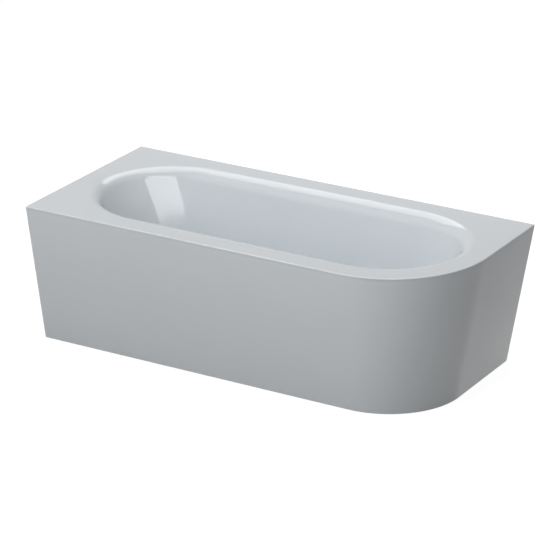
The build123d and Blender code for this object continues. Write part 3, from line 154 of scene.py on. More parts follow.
def vary_colour(finish, shade, size):
    """Lets the colour drift towards a second shade in soft patches."""
    nodes, links = finish.node_tree.nodes, finish.node_tree.links
    base = nodes["Principled BSDF"].inputs["Base Color"]
    ramp = nodes.new("ShaderNodeValToRGB")
    colours = (base.default_value[:], (*shade, 1.0))
    for stop, position, colour in zip(ramp.color_ramp.elements, SHADE_BAND, colours):
        stop.position = position
        stop.color = colour
    links.new(noise_in(finish, size), ramp.inputs["Fac"])
    links.new(ramp.outputs["Color"], base)


def vary_roughness(finish, low, high, size):
    """Lets the polish vary between two values in soft patches."""
    nodes, links = finish.node_tree.nodes, finish.node_tree.links
    spread = nodes.new("ShaderNodeMapRange")
    for label, value in zip(("From Min", "From Max", "To Min", "To Max"), (*POLISH_BAND, low, high)):
        spread.inputs[label].default_value = value
    links.new(noise_in(finish, size), spread.inputs["Value"])
    links.new(spread.outputs["Result"], nodes["Principled BSDF"].inputs["Roughness"])


def lift(finish, height, depth, strength):
    """Lifts and sinks the surface by a height, on top of the relief that it has."""
    nodes, links = finish.node_tree.nodes, finish.node_tree.links
    normal = nodes["Principled BSDF"].inputs["Normal"]
    bump = nodes.new("ShaderNodeBump")
    bump.inputs["Strength"].default_value = strength
    bump.inputs["Distance"].default_value = depth
    links.new(height, bump.inputs["Height"])
    if normal.links:
        links.new(normal.links[0].from_socket, bump.inputs["Normal"])
    links.new(bump.outputs["Normal"], normal)
    return bump


def add_relief(finish, size, depth, strength=1.0):
    """Gives the surface a fine grain of the given size and depth."""
    lift(finish, noise_in(finish, size), depth, strength)


def gloss_enamel():
    """Pale glass enamel, fired on: smooth to the eye, with a faint orange peel."""
    finish = new_finish("gloss_enamel", (0.705, 0.742, 0.768), 0.055, ior=1.5)
    vary_colour(finish, (0.695, 0.733, 0.760), 0.25)
    vary_roughness(finish, 0.045, 0.070, 0.12)
    add_relief(finish, 0.004, 0.00002, 0.4)
    return finish


def ground_enamel():
    """The dark first coat, sprayed thin on the side that nobody sees."""
    finish = new_finish("ground_enamel", (0.060, 0.068, 0.078), 0.32, ior=1.5)
    vary_colour(finish, (0.105, 0.112, 0.120), 0.035)
    vary_roughness(finish, 0.26, 0.46, 0.02)
    add_relief(finish, 0.0015, 0.00008, 0.8)
    return finish


def smooth_but_creases(mesh, crease=CREASE):
    """Shades a mesh smooth but for the edges that are sharper than an angle in degrees."""
    mesh.polygons.foreach_set("use_smooth", [True] * len(mesh.polygons))
    mesh.set_sharp_from_angle(angle=math.radians(crease))


def lean_in(z):
    """How far a free side has come in at a height, from the widest line of the rounded rim."""
    return np.maximum((HEIGHT - z) * math.tan(LEAN) - RIM_OVERHANG, 0.0)


def rim_outline():
    """Walks round the rim: for each place its point, the way out, the way it leans and the edge's foot."""
    places = []
    right = LENGTH / 2
    back = WIDTH / 2
    corner = SQUARE_CORNER_RADIUS
    reach = [CORNER_RADIUS * math.tan(RAY * step) for step in range(CORNER_STEPS // 2)]
    along = np.linspace(-END_CENTRE, END_CENTRE, STRAIGHT_STEPS + 1)

    def add(x, y, out, lean, free):
        bottom = FREE_EDGE_BOTTOM if free else WALL_EDGE_BOTTOM
        places.append((x, y, *out, *lean, bottom))

    def turn(x, y, start, lean, free):
        for step in range(SQUARE_CORNER_STEPS + 1):
            angle = start + math.pi / 2 * step / SQUARE_CORNER_STEPS
            out = (math.cos(angle), math.sin(angle))
            add(x + corner * out[0], y + corner * out[1], out, lean, free)

    for x in along[:-1]:
        add(x, -back, (0, -1), (0, 1), True)
    for step in range(CORNER_STEPS):
        angle = -math.pi / 2 + RAY * step
        out = (math.cos(angle), math.sin(angle))
        x, y = END_CENTRE + CORNER_RADIUS * out[0], CORNER_RADIUS * out[1]
        add(x, y, out, (-out[0], -out[1]), True)
    for r in reach:
        add(right, r, (1, 0), (-1, 0), True)
    turn(right - corner, back - corner, 0, (-1, 0), True)
    step_at = right - EDGE_STEP_INSET
    for x in sorted([END_CENTRE + r for r in reach[1:]] + [step_at, step_at + HAIR], reverse=True):
        add(x, back, (0, 1), (0, 0), x > step_at)
    for x in along[:0:-1]:
        add(x, back, (0, 1), (0, 0), False)
    for r in reach:
        add(-END_CENTRE - r, back, (0, 1), (0, 0), False)
    turn(-right + corner, back - corner, math.pi / 2, (0, 0), False)
    step_at = -back + EDGE_STEP_INSET
    levels = [-r for r in reach[1:]] + reach + [step_at, step_at - HAIR]
    for y in sorted(levels, reverse=True):
        add(-right, y, (-1, 0), (0, 0), y < step_at)
    turn(-right + corner, -back + corner, math.pi, (0, 1), True)
    for r in reach[:0:-1]:
        add(-END_CENTRE - r, -back, (0, -1), (0, 1), True)
    return np.array(places)


def basin_wall(share, angle, depth):
    """The basin's wall at a depth: its plan point, its level way out and its slope's tangent."""
    fall = depth / BASIN_DEPTH
    centre = END_CENTRE + (FLOOR_END_CENTRE - END_CENTRE) * fall
    reach = OPENING_END_REACH + (FLOOR_HALF_WIDTH - OPENING_END_REACH) * fall
    half = OPENING_HALF_WIDTH + (FLOOR_HALF_WIDTH - OPENING_HALF_WIDTH) * fall
    point = np.stack([share * centre + reach * np.cos(angle), half * np.sin(angle)], axis=-1)
    out = np.stack([half * np.cos(angle), reach * np.sin(angle)], axis=-1)
    out /= np.linalg.norm(out, axis=-1, keepdims=True)
    drift = np.stack([
        share * (FLOOR_END_CENTRE - END_CENTRE) + (FLOOR_HALF_WIDTH - OPENING_END_REACH) * np.cos(angle),
        (FLOOR_HALF_WIDTH - OPENING_HALF_WIDTH) * np.sin(angle),
    ], axis=-1) / BASIN_DEPTH
    return point, out, -(drift * out).sum(axis=-1)


def rolled_contact(share, angle, depth_for_sine):
    """Where a rounding meets the wall: its depth, the plan point, the way out and the slope."""
    depth = np.full_like(angle, FIRST_DEPTH)
    for _ in range(CONTACT_ROUNDS):
        point, out, slope = basin_wall(share, angle, depth)
        depth = depth_for_sine(np.sin(np.arctan(slope)))
    return depth, point, out, np.arctan(slope)


def lip_contact(share, angle):
    return rolled_contact(share, angle, lambda sine: LIP_RADIUS * (1 - sine))


def floor_contact(share, angle):
    start = BASIN_DEPTH - BASIN_FLOOR_RADIUS
    return rolled_contact(share, angle, lambda sine: start + BASIN_FLOOR_RADIUS * sine)


def ring_shares(outline):
    """For each place on the rim, the basin's column under it: along a straight, or round an end."""
    x, y = outline[:, 0], outline[:, 1]
    share = np.clip(x / END_CENTRE, -1, 1)
    angle = np.where(y < 0, -math.pi / 2, math.pi / 2)
    fine = np.linspace(-math.pi / 2, math.pi / 2, END_ANGLES)
    _, point, out, slope = lip_contact(np.ones_like(fine), fine)
    rim = point + out * (LIP_RADIUS * np.cos(slope))[:, None]
    seen = np.arctan2(rim[:, 1], rim[:, 0] - END_CENTRE)
    for side in (1, -1):
        at_end = side * x > END_CENTRE
        ray = np.arctan2(y[at_end], side * x[at_end] - END_CENTRE)
        found = np.interp(ray, seen, fine)
        angle[at_end] = found if side > 0 else math.pi - found
    return share, angle


def shell_rows(outline):
    """The shell's section at every place on the rim, from the waste hole round to it again."""
    share, angle = ring_shares(outline)
    plan, out, lean, bottom = outline[:, :2], outline[:, 2:4], outline[:, 4:6], outline[:, 6]
    lip_depth, lip_point, lip_out, lip_slope = lip_contact(share, angle)
    floor_depth, floor_point, floor_out, floor_slope = floor_contact(share, angle)
    lip_centre = lip_point + lip_out * (LIP_RADIUS * np.cos(lip_slope))[:, None]
    lip_level = HEIGHT - LIP_RADIUS
    turn_centre = floor_point - floor_out * (BASIN_FLOOR_RADIUS * np.cos(floor_slope))[:, None]
    floor = HEIGHT - BASIN_DEPTH
    turn_level = floor + BASIN_FLOOR_RADIUS
    ray = turn_centre / np.linalg.norm(turn_centre, axis=1, keepdims=True)
    soft = RECESS_DEPTH / 2

    def at(points, z):
        return np.column_stack([points, np.broadcast_to(z, len(points))])

    def wall_row(part, thickness):
        depth = lip_depth + (floor_depth - lip_depth) * part
        point, wall_out, slope = basin_wall(share, angle, depth)
        steep = np.arctan(slope)
        level = point + wall_out * (thickness * np.cos(steep))[:, None]
        return at(level, HEIGHT - depth - thickness * np.sin(steep))

    def lip_row(part, thickness):
        swing = part * (math.pi / 2 - lip_slope)
        radius = LIP_RADIUS - thickness
        level = lip_centre - lip_out * (radius * np.sin(swing))[:, None]
        return at(level, lip_level + radius * np.cos(swing))

    def turn_row(part, thickness):
        swing = part * (math.pi / 2 - floor_slope)
        radius = BASIN_FLOOR_RADIUS + thickness
        level = turn_centre + floor_out * (radius * np.sin(swing))[:, None]
        return at(level, turn_level - radius * np.cos(swing))

    def recess_rows(radius, high):
        rows = []
        for part in RECESS_STEPS:
            swing = part * math.pi / 2
            level = high - RECESS_DEPTH + soft * (1 - math.cos(swing))
            rows.append(at(ray * (radius - soft + soft * math.sin(swing)), level))
        for part in RECESS_STEPS[::-1]:
            swing = part * math.pi / 2
            level = high - soft * (1 - math.cos(swing))
            rows.append(at(ray * (radius + soft - soft * math.sin(swing)), level))
        return rows[:len(RECESS_STEPS)] + rows[len(RECESS_STEPS) + 1:]

    def floor_rows(radius, level, parts):
        start = ray * (radius + soft)
        return [at(start + (turn_centre - start) * part, level) for part in parts]

    under = floor - SHEET
    hole = ray * FITTING_HOLE_RADIUS
    rows = [at(hole, under - RECESS_DEPTH), at(hole, floor - RECESS_DEPTH)]
    rows.append(at(ray * (RECESS_RADIUS - RECESS_FLAT), floor - RECESS_DEPTH))
    rows += recess_rows(RECESS_RADIUS, floor)
    rows += floor_rows(RECESS_RADIUS, floor, FLOOR_STEPS)
    rows += [turn_row(part, 0) for part in np.linspace(0, 1, 15)]
    wall_first = len(rows)
    rows += [wall_row(part, 0) for part in WALL_STEPS]
    rows += [lip_row(part, 0) for part in np.linspace(1, 0, 21)]
    rim_start, rim_end = lip_centre, plan - out * RIM_EDGE_RADIUS
    for part in RIM_STEPS:
        rows.append(at(rim_start + (rim_end - rim_start) * part, HEIGHT))
    for part in np.linspace(0, 1, 7):
        swing = part * math.pi / 2
        level = HEIGHT - RIM_EDGE_RADIUS * (1 - math.cos(swing))
        rows.append(at(plan - out * (RIM_EDGE_RADIUS * (1 - math.sin(swing))), level))
    leaning_from = HEIGHT - RIM_EDGE_RADIUS - RIM_EDGE_RADIUS * math.sin(LEAN)
    inner = plan - out * SHEET
    for level in (leaning_from, leaning_from - STEP_SHOULDER):
        rows.append(at(plan + lean * lean_in(level), level))
    rows.append(at(plan + lean * lean_in(bottom)[:, None], bottom))
    under_from = len(rows) - 1
    rows.append(at(inner + lean * lean_in(bottom)[:, None], bottom))
    rows.append(at(inner, HEIGHT - SHEET))
    for part in UNDER_RIM_STEPS:
        rows.append(at(rim_start + (inner - rim_start) * part, HEIGHT - SHEET))
    rows += [lip_row(part, SHEET) for part in np.linspace(0, 1, 13)]
    under_wall_first = len(rows)
    rows += [wall_row(part, SHEET) for part in WALL_STEPS[::-1]]
    rows += [turn_row(part, SHEET) for part in np.linspace(1, 0, 13)]
    rows += floor_rows(RECESS_RADIUS + SHEET, under, UNDER_FLOOR_STEPS)
    rows += recess_rows(RECESS_RADIUS + SHEET, under)[::-1]
    return np.array(rows), under_from, wall_first, under_wall_first


def overflow_patch(grid, block, centre, points):
    """Fills a block of the wall's grid with rings that close on the overflow hole."""
    low_row, high_row, low_column, high_column = block
    loop = [(low_row, column) for column in range(low_column, high_column)]
    loop += [(row, high_column) for row in range(low_row, high_row)]
    loop += [(high_row, column) for column in range(high_column, low_column, -1)]
    loop += [(row, low_column) for row in range(high_row, low_row, -1)]
    edge = np.array([grid[row % len(grid), column] for row, column in loop])
    along = np.array([1.0, 0.0, 0.0])
    up = np.array([0.0, -math.sin(FRONT_WALL_SLOPE), math.cos(FRONT_WALL_SLOPE)])
    turn = np.arctan2((edge - centre) @ up, (edge - centre) @ along)
    hole = centre + FITTING_HOLE_RADIUS * (np.outer(np.cos(turn), along) + np.outer(np.sin(turn), up))
    columns = grid.shape[1]
    rings = [[(row % len(grid)) * columns + column for row, column in loop]]
    for part in PATCH_RINGS:
        rings.append([len(points) + number for number in range(len(loop))])
        points.extend(edge + (hole - edge) * part)
    return rings


def ring_faces(inner, outer):
    """The faces between two rings of as many points."""
    count = len(inner)
    return [
        (inner[n], outer[n], outer[(n + 1) % count], inner[(n + 1) % count])
        for n in range(count)
    ]


def bath_shell():
    """The pressed and enamelled shell, as one closed surface."""
    outline = rim_outline()
    grid, under_from, wall_first, under_first = shell_rows(outline)
    rows, columns = grid.shape[:2]
    points = list(grid.reshape(-1, 3))
    middle = STRAIGHT_STEPS // 2
    across = (middle - PATCH_HALF_COLUMNS, middle + PATCH_HALF_COLUMNS)
    wall_last = wall_first + len(WALL_STEPS) - 1
    top_block = (wall_last - PATCH_ROWS, wall_last, *across)
    under_block = (under_first, under_first + PATCH_ROWS, *across)
    faces, finish_of = [], []
    for row in range(rows):
        for column in range(columns):
            cut = any(
                low <= row < high and left <= column < right
                for low, high, left, right in (top_block, under_block)
            )
            if cut:
                continue
            after, beside = (row + 1) % rows, (column + 1) % columns
            faces.append((
                row * columns + column, row * columns + beside,
                after * columns + beside, after * columns + column,
            ))
            finish_of.append(0 if row < under_from else 1)
    side_y = -(OPENING_HALF_WIDTH - OVERFLOW_DEPTH * math.tan(FRONT_WALL_SLOPE))
    centre = np.array([0.0, side_y, HEIGHT - OVERFLOW_DEPTH])
    through = -SHEET * np.array([0.0, math.cos(FRONT_WALL_SLOPE), math.sin(FRONT_WALL_SLOPE)])
    top = overflow_patch(grid, top_block, centre, points)
    under = overflow_patch(grid, under_block, centre + through, points)
    for rings, finish in ((top, 0), (under, 1)):
        for one, two in zip(rings, rings[1:]):
            found = ring_faces(one, two)
            faces += found
            finish_of += [finish] * len(found)
    top_hole = top[-1]
    under_hole = under[-1]
    match = [
        min(under_hole, key=lambda other: np.linalg.norm(points[other] - points[number] - through))
        for number in top_hole
    ]
    found = ring_faces(top_hole, match)
    faces += found
    finish_of += [1] * len(found)
    mesh = bpy.data.meshes.new("bath_shell_enamelled")
    mesh.from_pydata([tuple(point) for point in points], [], faces)
    mesh.materials.append(gloss)
    mesh.materials.append(ground)
    mesh.polygons.foreach_set("material_index", finish_of)
    mesh.validate()
    smooth_but_creases(mesh)
    mesh.update()
    return new_object("bath_shell_enamelled", mesh)


def close_up(piece):
    """Drops the points that no face uses and turns every face of a closed piece outwards."""
    work = bmesh.new()
    work.from_mesh(piece.data)
    loose = [point for point in work.verts if not point.link_faces]
    bmesh.ops.delete(work, geom=loose, context="VERTS")
    bmesh.ops.recalc_face_normals(work, faces=work.faces)
    work.to_mesh(piece.data)
    work.free()


def stands_for(piece, node):
    """Lets a piece ride on the CAD piece's body and show in its place, with the CAD piece hidden."""
    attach(piece, body_of[node])
    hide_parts(node)


body_of = {
    node: body for body, nodes in frame["record"]["behaviour"]["bodies"].items() for node in nodes
}
slot_of = {row["node"]: row["material_slot"] for row in frame["record"]["subparts"]}
gloss = gloss_enamel()
ground = ground_enamel()
shell = bath_shell()
close_up(shell)
stands_for(shell, "bath_shell")


# Apron. One steel sheet folded and leaning in towards the floor, bent round the free corner without
# a seam, enamelled like the shell. Flanges along its top, foot and two ends stiffen it; the top
# flange is bonded under the rim and the foot flange is screwed to the braces.
APRON_SHEET = 0.002
APRON_FLANGE = 0.025
APRON_FOOT = 0.002
APRON_TOP = 0.5667
FOLD_STEPS = 3
FOLD_SHARE = 0.45
FLANGE_EDGE = 0.0004
OUTSIDE_FACING = -0.3


def size_tree(name, sizes, **others):
    """A geometry tree with a path, named sizes and other inputs in, and the finished piece out."""
    tree = bpy.data.node_groups.new(name, "GeometryNodeTree")
    tree.interface.new_socket("Path", in_out="INPUT", socket_type="NodeSocketGeometry")
    for label in sizes:
        tree.interface.new_socket(label, in_out="INPUT", socket_type="NodeSocketFloat")
    for label, kind in others.items():
        tree.interface.new_socket(label, in_out="INPUT", socket_type=kind)
    tree.interface.new_socket("Piece", in_out="OUTPUT", socket_type="NodeSocketGeometry")
    return tree, tree.nodes.new("NodeGroupInput").outputs


def add_node(tree, kind, inputs=None, **settings):
    """Adds a node, sets it up, and fills each input with a value or another node's output."""
    node = tree.nodes.new(kind)
    for setting, value in settings.items():
        setattr(node, setting, value)
    enabled = [socket for socket in node.inputs if socket.enabled]
    for key, value in (inputs or {}).items():
        socket = enabled[key] if isinstance(key, int) else next(s for s in enabled if s.name == key)
        if isinstance(value, bpy.types.Node):
            value = next(output for output in value.outputs if output.enabled)
        if isinstance(value, bpy.types.NodeSocket):
            tree.links.new(value, socket)
        else:
            socket.default_value = value
    return node


def reckon(tree, operation, *values):
    """A sum, product or other reckoning of numbers in a tree."""
    return add_node(tree, "ShaderNodeMath", dict(enumerate(values)), operation=operation)


def reckon_ways(tree, operation, *values):
    """The same for directions."""
    return add_node(tree, "ShaderNodeVectorMath", dict(enumerate(values)), operation=operation)


def compared(tree, operation, one, other):
    """Whether one number is less or greater than another."""
    return add_node(tree, "FunctionNodeCompare", {0: one, 1: other},
                    data_type="FLOAT", operation=operation)


def either(tree, kind, condition, no, yes):
    """One of two values, as a condition says."""
    return add_node(tree, "GeometryNodeSwitch", {"Switch": condition, "False": no, "True": yes},
                    input_type=kind)


def keep_way(tree, geometry, name, way):
    """Writes a direction on the points, to be read again by its name."""
    return add_node(
        tree, "GeometryNodeStoreNamedAttribute", {"Geometry": geometry, "Name": name, "Value": way},
        data_type="FLOAT_VECTOR", domain="POINT",
    )


def kept_way(tree, name):
    """Reads a direction that was written on the points."""
    return add_node(
        tree, "GeometryNodeInputNamedAttribute", {"Name": name}, data_type="FLOAT_VECTOR"
    ).outputs["Attribute"]


def finish_tree(tree, geometry):
    """Ends a tree: its instances are made real and the piece goes out."""
    real = add_node(tree, "GeometryNodeRealizeInstances", {0: geometry})
    end = tree.nodes.new("NodeGroupOutput")
    tree.links.new(real.outputs[0], end.inputs[0])


def run_tree(base, tree, values, name):
    """Sets the tree's inputs by their identifiers and turns its result into a plain mesh."""
    modifier = base.modifiers.new("form", "NODES")
    modifier.node_group = tree
    for item in tree.interface.items_tree:
        if item.in_out == "INPUT" and item.name in values:
            modifier[item.identifier] = values[item.name]
    seen = base.evaluated_get(bpy.context.evaluated_depsgraph_get())
    mesh = bpy.data.meshes.new_from_object(seen)
    mesh.name = name
    base.modifiers.clear()
    bpy.data.objects.remove(base)
    return new_object(name, mesh)


def path_object(name, points, level=0.0):
    """An open line of straight runs at a level, for a tree to follow."""
    curve = bpy.data.curves.new(name, "CURVE")
    curve.dimensions = "3D"
    line = curve.splines.new("POLY")
    line.points.add(len(points) - 1)
    for place, point in zip(line.points, points):
        place.co = (*point, level, 1.0)
    return new_object(name, curve)


def joined(name, pieces):
    """Makes one object of several meshes that ride on the same body."""
    finishes = []
    work = bmesh.new()
    for piece in pieces:
        mesh = piece.data
        places = []
        for finish in mesh.materials:
            if finish not in finishes:
                finishes.append(finish)
            places.append(finishes.index(finish))
        numbers = [places[polygon.material_index] for polygon in mesh.polygons]
        mesh.polygons.foreach_set("material_index", numbers)
        work.from_mesh(mesh)
        bpy.data.objects.remove(piece)
    mesh = bpy.data.meshes.new(name)
    work.to_mesh(mesh)
    work.free()
    for finish in finishes:
        mesh.materials.append(finish)
    smooth_but_creases(mesh)
    return new_object(name, mesh)


def folded_strip_tree():
    """A strip of sheet that follows the bath's plan and leans in with its free sides."""
    sizes = ("Corner Radius", "Edge Radius", "Near", "Far", "Low", "High", "Bend", "Lean", "Overhang")
    tree, size = size_tree("folded_strip", sizes)
    apart = add_node(tree, "ShaderNodeSeparateXYZ", {0: add_node(tree, "GeometryNodeInputPosition")})
    x, y = apart.outputs["X"], apart.outputs["Y"]
    front = compared(tree, "LESS_THAN", y, 0.0)
    right = compared(tree, "GREATER_THAN", x, 0.0)
    free_corner = add_node(tree, "FunctionNodeBooleanMath", {0: front, 1: right}, operation="AND")
    radius = either(tree, "FLOAT", free_corner, size["Edge Radius"], size["Corner Radius"])
    count = either(tree, "INT", free_corner, SQUARE_CORNER_STEPS, CORNER_STEPS)
    bent = add_node(tree, "GeometryNodeFilletCurve",
                    {"Curve": size["Path"], "Radius": radius, "Count": count}, mode="POLY")
    upright = add_node(tree, "GeometryNodeSetCurveNormal", {"Curve": bent}, mode="Z_UP")
    along = add_node(tree, "GeometryNodeInputTangent")
    inward = reckon_ways(tree, "CROSS_PRODUCT", (0.0, 0.0, 1.0), along)
    by_left_wall = compared(tree, "LESS_THAN", x, SQUARE_CORNER_RADIUS - LENGTH / 2)
    by_back_wall = compared(tree, "GREATER_THAN", y, WIDTH / 2 - SQUARE_CORNER_RADIUS)
    way = either(tree, "VECTOR", by_left_wall, inward, (0.0, 1.0, 0.0))
    way = either(tree, "VECTOR", by_back_wall, way, (-1.0, 0.0, 0.0))
    marked = keep_way(tree, upright, "inward", inward)
    marked = keep_way(tree, marked, "lean_way", way)
    wide = reckon(tree, "SUBTRACT", size["Far"], size["Near"])
    high = reckon(tree, "SUBTRACT", size["High"], size["Low"])
    section = add_node(tree, "GeometryNodeCurvePrimitiveQuadrilateral", {"Width": wide, "Height": high})
    section = add_node(tree, "GeometryNodeFilletCurve",
                       {"Curve": section, "Radius": size["Bend"], "Count": FOLD_STEPS}, mode="POLY")
    middle_in = reckon(tree, "MULTIPLY", reckon(tree, "ADD", size["Far"], size["Near"]), -0.5)
    middle_up = reckon(tree, "MULTIPLY", reckon(tree, "ADD", size["High"], size["Low"]), -0.5)
    shift = add_node(tree, "ShaderNodeCombineXYZ", {0: middle_in, 1: middle_up})
    section = add_node(tree, "GeometryNodeTransform", {"Geometry": section, "Translation": shift})
    swept = add_node(tree, "GeometryNodeCurveToMesh",
                     {"Curve": marked, "Profile Curve": section, "Fill Caps": True})
    level = add_node(tree, "ShaderNodeSeparateXYZ", {0: add_node(tree, "GeometryNodeInputPosition")})
    drop = reckon(tree, "SUBTRACT", HEIGHT, level.outputs["Z"])
    come_in = reckon(tree, "SUBTRACT", reckon(tree, "MULTIPLY", drop, size["Lean"]), size["Overhang"])
    offset = reckon_ways(tree, "MULTIPLY", kept_way(tree, "lean_way"),
                         add_node(tree, "ShaderNodeCombineXYZ", {0: come_in, 1: come_in, 2: 0.0}))
    leaning = add_node(tree, "GeometryNodeSetPosition", {"Geometry": swept, "Offset": offset})
    facing = reckon_ways(tree, "DOT_PRODUCT", add_node(tree, "GeometryNodeInputNormal"),
                         kept_way(tree, "inward"))
    outside = compared(tree, "LESS_THAN", facing, OUTSIDE_FACING)
    coated = add_node(tree, "GeometryNodeSetMaterial", {"Geometry": leaning, "Material": ground})
    coated = add_node(tree, "GeometryNodeSetMaterial",
                      {"Geometry": coated, "Selection": outside, "Material": gloss})
    finish_tree(tree, coated)
    return tree


def apron():
    """The apron's sheet with its end flanges, then its top and foot flanges."""
    tree = folded_strip_tree()
    left, right = -LENGTH / 2, LENGTH / 2
    front, back = -WIDTH / 2, WIDTH / 2
    round_the_sheet = [
        (left, front + APRON_FLANGE), (left, front), (right, front), (right, back),
        (right - APRON_FLANGE, back),
    ]
    between_ends = [(left + APRON_SHEET, front), (right, front), (right, back - APRON_SHEET)]
    shared = {
        "Corner Radius": CORNER_RADIUS,
        "Edge Radius": SQUARE_CORNER_RADIUS,
        "Lean": math.tan(LEAN),
        "Overhang": RIM_OVERHANG,
    }
    thick = APRON_SHEET / math.cos(LEAN)
    over_foot = APRON_FOOT + APRON_SHEET
    strips = (
        ("apron_sheet", round_the_sheet, 0.0, thick, APRON_FOOT, APRON_TOP, thick * FOLD_SHARE),
        ("top_flange", between_ends, thick, APRON_FLANGE, APRON_TOP - APRON_SHEET, APRON_TOP, FLANGE_EDGE),
        ("foot_flange", between_ends, thick, APRON_FLANGE, APRON_FOOT, over_foot, FLANGE_EDGE),
    )
    pieces = []
    for name, path, near, far, low, high, bend in strips:
        sizes = {"Near": near, "Far": far, "Low": low, "High": high, "Bend": bend}
        pieces.append(run_tree(path_object(name + "_path", path), tree, {**shared, **sizes}, name))
    return joined("apron_folded", pieces)


apron_piece = apron()
close_up(apron_piece)
stands_for(apron_piece, "apron")


# Bond strip and sound-deadening pads. The strip is a bead of grey elastic adhesive that carries the
# apron's top flange under the rim. The pads are heavy bitumen sheet with a pebbled face, stuck on
# the underside of the basin and behind the front panel by their own tack.
PEBBLE_STRENGTH = 0.8


def dress(finish, *names):
    """Gives CAD pieces whose shape is right their finish."""
    for name in names:
        for place in frame["nodes"][name].material_slots:
            place.material = finish


def add_pebbles(finish, size, depth):
    """Embosses the surface with rounded cells."""
    nodes, links = finish.node_tree.nodes, finish.node_tree.links
    place = nodes.new("ShaderNodeTexCoord")
    cells = nodes.new("ShaderNodeTexVoronoi")
    cells.feature = "SMOOTH_F1"
    cells.inputs["Scale"].default_value = 1.0 / size
    links.new(place.outputs["Object"], cells.inputs["Vector"])
    lift(finish, cells.outputs["Distance"], depth, PEBBLE_STRENGTH).invert = True


sealant = new_finish("grey_sealant", (0.30, 0.31, 0.32), 0.55)
vary_colour(sealant, (0.36, 0.37, 0.38), 0.02)
vary_roughness(sealant, 0.45, 0.65, 0.008)
add_relief(sealant, 0.003, 0.0002)
bitumen = new_finish("bitumen_sheet", (0.022, 0.021, 0.020), 0.72)
vary_colour(bitumen, (0.045, 0.043, 0.040), 0.012)
vary_roughness(bitumen, 0.55, 0.85, 0.006)
add_pebbles(bitumen, 0.007, 0.0006)
add_relief(bitumen, 0.0012, 0.0001)
dress(sealant, "apron_bond_strip")
dress(bitumen, "floor_deadening", "wall_deadening", "apron_deadening")


# Cross rails with their pads, lugs and bolts. Each rail is a channel folded from galvanised sheet. It
# hangs under the floor on rubber pads, held by lugs welded to the shell and a bolt through each lug.
RAIL_CENTRE = 0.330
RAIL_HALF_WIDTH = 0.020
RAIL_BOLT_LEVEL = 0.136
LUG_FACE = 0.0233
LUG_Y = 0.080
LUG_REACH = 0.0223
LUG_HALF_WIDTH = 0.015
SMALL_BOLT = {"radius": 0.003, "flats": 0.010, "pitch": 0.001}
LARGE_BOLT = {"radius": 0.004, "flats": 0.013, "pitch": 0.00125}
NUT_PLAY = 0.00006
NUT_MOUTH = 0.0005
RAIL_BOLT_HEAD = 0.0053
RAIL_BOLT_SHANK = 0.0558
RAIL_NUT_HEIGHT = 0.0065
SOFT_EDGE = 0.0004
SOFT_CREASE = 32
FLAT_ANGLE = math.radians(0.4)
THREAD_CREASE = 28
MERGE_DISTANCE = 0.000001
ROUND_STEPS = 36
THREAD_REACH = 0.00002
POINTS_PER_TURN = 4
CHAMFER_CIRCLE = 0.475
CHAMFER_FALL = math.tan(math.radians(30))
CHAMFER_STEPS = (0, 0.25, 0.5, 0.75, 1)
TIP_CHAMFER = 0.15
PLAIN_SHANK = 0.25
THREAD_DEPTH = 0.54
CRYSTAL_SCALE = 140.0


def softened(node, finish, edge=SOFT_EDGE):
    """A copy of a CAD piece with its sharp edges broken, as folding, moulding or tumbling leaves them."""
    work = bmesh.new()
    work.from_mesh(frame["nodes"][node].data)
    for layer in list(work.loops.layers.float_vector.values()):
        work.loops.layers.float_vector.remove(layer)
    bmesh.ops.remove_doubles(work, verts=work.verts, dist=MERGE_DISTANCE)
    bmesh.ops.dissolve_limit(work, angle_limit=FLAT_ANGLE, verts=work.verts, edges=work.edges)
    bmesh.ops.recalc_face_normals(work, faces=work.faces)
    if edge > 0:
        sharp = [
            line for line in work.edges
            if len(line.link_faces) == 2 and line.calc_face_angle() > math.radians(SOFT_CREASE)
        ]
        bmesh.ops.bevel(
            work, geom=sharp, offset=edge, segments=2, profile=0.5, affect="EDGES", clamp_overlap=True
        )
    for face in work.faces:
        face.material_index = 0
    mesh = bpy.data.meshes.new(node + "_softened")
    work.to_mesh(mesh)
    work.free()
    mesh.materials.append(finish)
    smooth_but_creases(mesh, SOFT_CREASE)
    stands_for(new_object(node + "_softened", mesh), node)


def zinc_coat():
    """Hot-dip zinc: dull grey crystals of slightly different shade and polish."""
    finish = new_finish("galvanised_steel", (0.47, 0.49, 0.51), 0.42, metallic=0.85)
    nodes, links = finish.node_tree.nodes, finish.node_tree.links
    shader = nodes["Principled BSDF"]
    place = nodes.new("ShaderNodeTexCoord")
    crystals = nodes.new("ShaderNodeTexVoronoi")
    crystals.inputs["Scale"].default_value = CRYSTAL_SCALE
    shade = nodes.new("ShaderNodeValToRGB")
    shade.color_ramp.elements[0].color = (0.40, 0.42, 0.44, 1.0)
    shade.color_ramp.elements[1].color = (0.56, 0.58, 0.60, 1.0)
    polish = nodes.new("ShaderNodeMapRange")
    polish.inputs["To Min"].default_value = 0.32
    polish.inputs["To Max"].default_value = 0.52
    apart = nodes.new("ShaderNodeSeparateColor")
    links.new(place.outputs["Object"], crystals.inputs["Vector"])
    links.new(crystals.outputs["Color"], apart.inputs["Color"])
    links.new(apart.outputs["Red"], shade.inputs["Fac"])
    links.new(apart.outputs["Green"], polish.inputs["Value"])
    links.new(shade.outputs["Color"], shader.inputs["Base Color"])
    links.new(polish.outputs["Result"], shader.inputs["Roughness"])
    add_relief(finish, 0.0008, 0.00003)
    return finish


